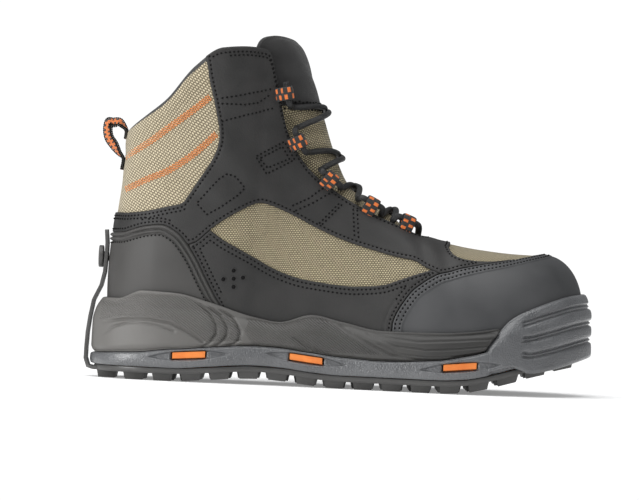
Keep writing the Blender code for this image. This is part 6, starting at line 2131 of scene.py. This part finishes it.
def almond(side_points, side):
    """Distance fields of the chassis's windows: depth of the almond recess and of the slot."""
    recess, slot = np.zeros(len(side_points)), np.zeros(len(side_points))
    for along in WINDOWS:
        point, forward, _ = edge_frame(side, along)
        middle = window_level(side, along) + (WINDOW_SILL + WINDOW_TOP) / 2
        run = np.sign(forward[0]) * (side_points[:, 0] - point[0]) / abs(forward[0])
        lean = np.array([float(chassis_bottom(point[0] + d)) for d in (-0.01, 0.01)])
        rise = side_points[:, 1] - middle - (side_points[:, 0] - point[0]) * (lean[1] - lean[0]) / 0.02
        half = RECESS_LENGTH / 2
        opening = 0.0037 * np.clip(1 - (np.abs(run) / half) ** 1.6, 0, 1) ** 0.8
        recess = np.maximum(recess, ease(opening - np.abs(rise), -0.0004, 0.0012) * (np.abs(run) < half))
        corner = np.maximum(np.abs(run) - WINDOW_LENGTH / 2 + 0.0008, 0), np.maximum(np.abs(rise) - 0.0016, 0)
        slot = np.maximum(slot, ease(0.0009 - np.hypot(*corner), -0.0003, 0.0003))
    return recess, slot


def build_chassis():
    """Rubber chassis round the boot with its windows, drawn in behind the toe bumper."""
    count = len(SOLE_SHARES)
    band = np.concatenate([np.linspace(0, 1, 34)])
    grow_at = smooth_column([0, 0.06, 0.45, 0.90, 1.0], [-0.0016, -0.0004, 0.0003, -0.0001, -0.0016])
    rows = {}
    for side in (LATERAL, MEDIAL):
        edge, outward = edge_point(side, SOLE_SHARES, 0.0)
        x = edge[:, 0]
        low, high = chassis_bottom(x), chassis_top(x)
        side_rows = []
        for level in band:
            height = low + level * (high - low)
            recess, slot = almond(np.column_stack([x, height]), side)
            behind = ease(x, float(along_x(0.787)), float(along_x(0.802)))
            out = float(grow_at(level)) - 0.0017 * recess - 0.0080 * slot - 0.0030 * behind
            plan, _ = edge_point(side, SOLE_SHARES, out)
            side_rows.append(np.column_stack([plan, height]))
        rows[side] = np.array(side_rows)
    piece = ring_piece("Chassis", loop_of(rows), CHASSIS_RUBBER)
    settle(piece, "chassis_rubber", "chassis")


def build_bumper():
    shares = np.unique(np.concatenate([
        np.linspace(float(np.interp(along_x(0.781), EDGE[LATERAL][1][:, 0], EDGE[LATERAL][0])), 1, 210)]))
    ribs = rib_at_share(shares)
    levels = np.concatenate([[0.0, 0.012, 0.03], np.linspace(0.06, 0.985, 86)])
    rows = {}
    for side in (LATERAL, MEDIAL):
        lifts = rib_point(side, ribs[:, None], LIFT_STEPS[None, :])[..., 2]
        edge, outward = edge_point(side, shares, 0.0)
        x = edge[:, 0]
        along = (x - HEEL_X) / SOLE_LENGTH
        top = BUMPER_TOP(along) * BOOT_HEIGHT
        drop = BUMPER_DROP(along)
        low = chassis_bottom(x) + 0.0022 * (1 - np.minimum(drop / 0.0050, 1)) - drop
        height = top - low
        fade = ease(along, 0.851, 0.862)
        start = ease(along, 0.781, 0.792)

        def inner_grow(z, more=0.0):
            climb = np.array([np.interp(h, lift, LIFT_STEPS) for h, lift in zip(z, lifts)])
            inside = form_point(side, ribs, climb, np.full(len(ribs), CUP_OFFSET + more))
            return np.sum((inside[:, :2] - edge) * outward, axis=1), inside

        def outer(share, grow):
            z = low + share * height
            lean = 0.0042 * max(0.0, (share - 0.62) / 0.38) ** 2 + 0.0009 * share
            recess = almond(np.column_stack([x, z]), side)[0]
            out = grow + BUMPER_PROUD * (2 * start - 1) - lean - 0.0017 * recess
            out = np.maximum(out, inner_grow(np.minimum(z, top))[0] + BUMPER_EDGE * np.minimum(1, height / 0.02))
            plan, _ = edge_point(side, shares, out)
            return np.column_stack([plan, z])

        side_rows = []
        for level in levels:
            ends = edge_round(level, 0.05) * edge_round(1 - level, 0.05)
            grow = -0.0016 * (1 - ends) + 0 * x
            for groove in BUMPER_GROOVES:
                # two lines with a lip between them
                at = (level - groove) * height
                grow = grow - fade * (0.0014 * ridge(at - 0.0012, 0.0006) + 0.0014 * ridge(at + 0.0012, 0.0006))
                grow = grow - fade * 0.0010 * ridge(at, 0.0024)
            side_rows.append(outer(level, grow))
        for share in (1.0, 0.97, 0.6, 0.25, 0.0):
            floor = foot_floor(x) - 2 * GAP
            z = np.maximum(floor + share * (top - floor), floor)
            _, inside = inner_grow(z, 0.0012 if share == 1.0 else 0.0)
            if share == 1.0:
                inside[:, 2] = top + 0.0001
            side_rows.append(inside)
        lip = np.maximum(BUMPER_LIP * np.minimum(drop / 0.0050, 1), 0.0030)
        sunk = chassis_top(x) - 0.0020
        for inset, z in ((lip + 0.004, sunk), (lip, sunk), (lip, low)):
            plan, _ = edge_point(side, shares, -inset)
            side_rows.append(np.column_stack([plan, z]))
        rows[side] = np.array(side_rows)
    grid = np.concatenate([rows[LATERAL], rows[MEDIAL][:, -2::-1]], axis=1)
    ring_rows, columns = grid.shape[:2]
    i, j = (g.ravel() for g in np.meshgrid(np.arange(ring_rows), np.arange(columns - 1), indexing="ij"))
    nxt = (i + 1) % ring_rows
    faces = np.column_stack([i * columns + j, i * columns + j + 1, nxt * columns + j + 1, nxt * columns + j]).tolist()
    faces.append([k * columns for k in range(ring_rows)])
    faces.append([k * columns + columns - 1 for k in range(ring_rows)][::-1])
    piece = make_piece("Toe bumper", grid.reshape(-1, 3), faces, [CHASSIS_RUBBER])
    shape = bmesh.new()
    shape.from_mesh(piece.data)
    if shape.calc_volume(signed=True) < 0:
        bmesh.ops.reverse_faces(shape, faces=shape.faces)
        shape.to_mesh(piece.data)
    shape.free()
    settle(piece, "chassis_rubber", "chassis")


def moulded_copy(node, name, finish, slot, bevel):
    """The solid itself with its edges softened."""
    shape = bmesh.new()
    shape.from_mesh(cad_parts[node].data)
    bmesh.ops.remove_doubles(shape, verts=shape.verts, dist=2e-6)
    bmesh.ops.dissolve_limit(shape, angle_limit=math.radians(2), verts=shape.verts, edges=shape.edges)
    mesh = bpy.data.meshes.new(name)
    shape.to_mesh(mesh)
    shape.free()
    mesh.materials.clear()
    mesh.materials.append(finish)
    piece = bpy.data.objects.new(name, mesh)
    bpy.context.scene.collection.objects.link(piece)
    soften = piece.modifiers.new("Soft edges", "BEVEL")
    soften.width = bevel
    soften.segments = 2
    soften.limit_method = "ANGLE"
    soften.angle_limit = math.radians(35)
    soften.harden_normals = False
    bpy.context.view_layer.update()
    depsgraph = bpy.context.evaluated_depsgraph_get()
    finished = bpy.data.meshes.new_from_object(piece.evaluated_get(depsgraph), depsgraph=depsgraph)
    piece.modifiers.clear()
    piece.data = finished
    finished.polygons.foreach_set("use_smooth", [True] * len(finished.polygons))
    finished.set_sharp_from_angle(angle=math.radians(40))
    return settle(piece, slot, node)


set_camera()
light_studio()
build_upper()
build_toe_cap()
build_heel_counter()
build_ankle_overlay()
build_mudguards()
build_drain_holes()
build_stripes()
build_tongue()
build_insole()
build_loops()
build_lace()
build_pull_loop()
build_midsole()
build_chassis()
build_bumper()
moulded_copy("outsole", "Outsole_and_strap", TREAD_RUBBER, "black_rubber", 0.0005)
moulded_copy("strap_knob", "Strap_knob", TREAD_RUBBER, "toe_rubber", 0.0005)
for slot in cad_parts["keeper_plate"].material_slots:
    slot.material = ORANGE


def lay_floor():
    turns = np.linspace(0, 2 * math.pi, 96, endpoint=False)
    points = np.column_stack([0.75 * np.cos(turns), 0.75 * np.sin(turns), 0 * turns])
    ground = make_piece("Floor", points, [tuple(range(96))], [floor_finish()], smooth=False)


lay_floor()
bpy.context.scene.view_settings.view_transform = "Standard"
bpy.context.view_layer.update()
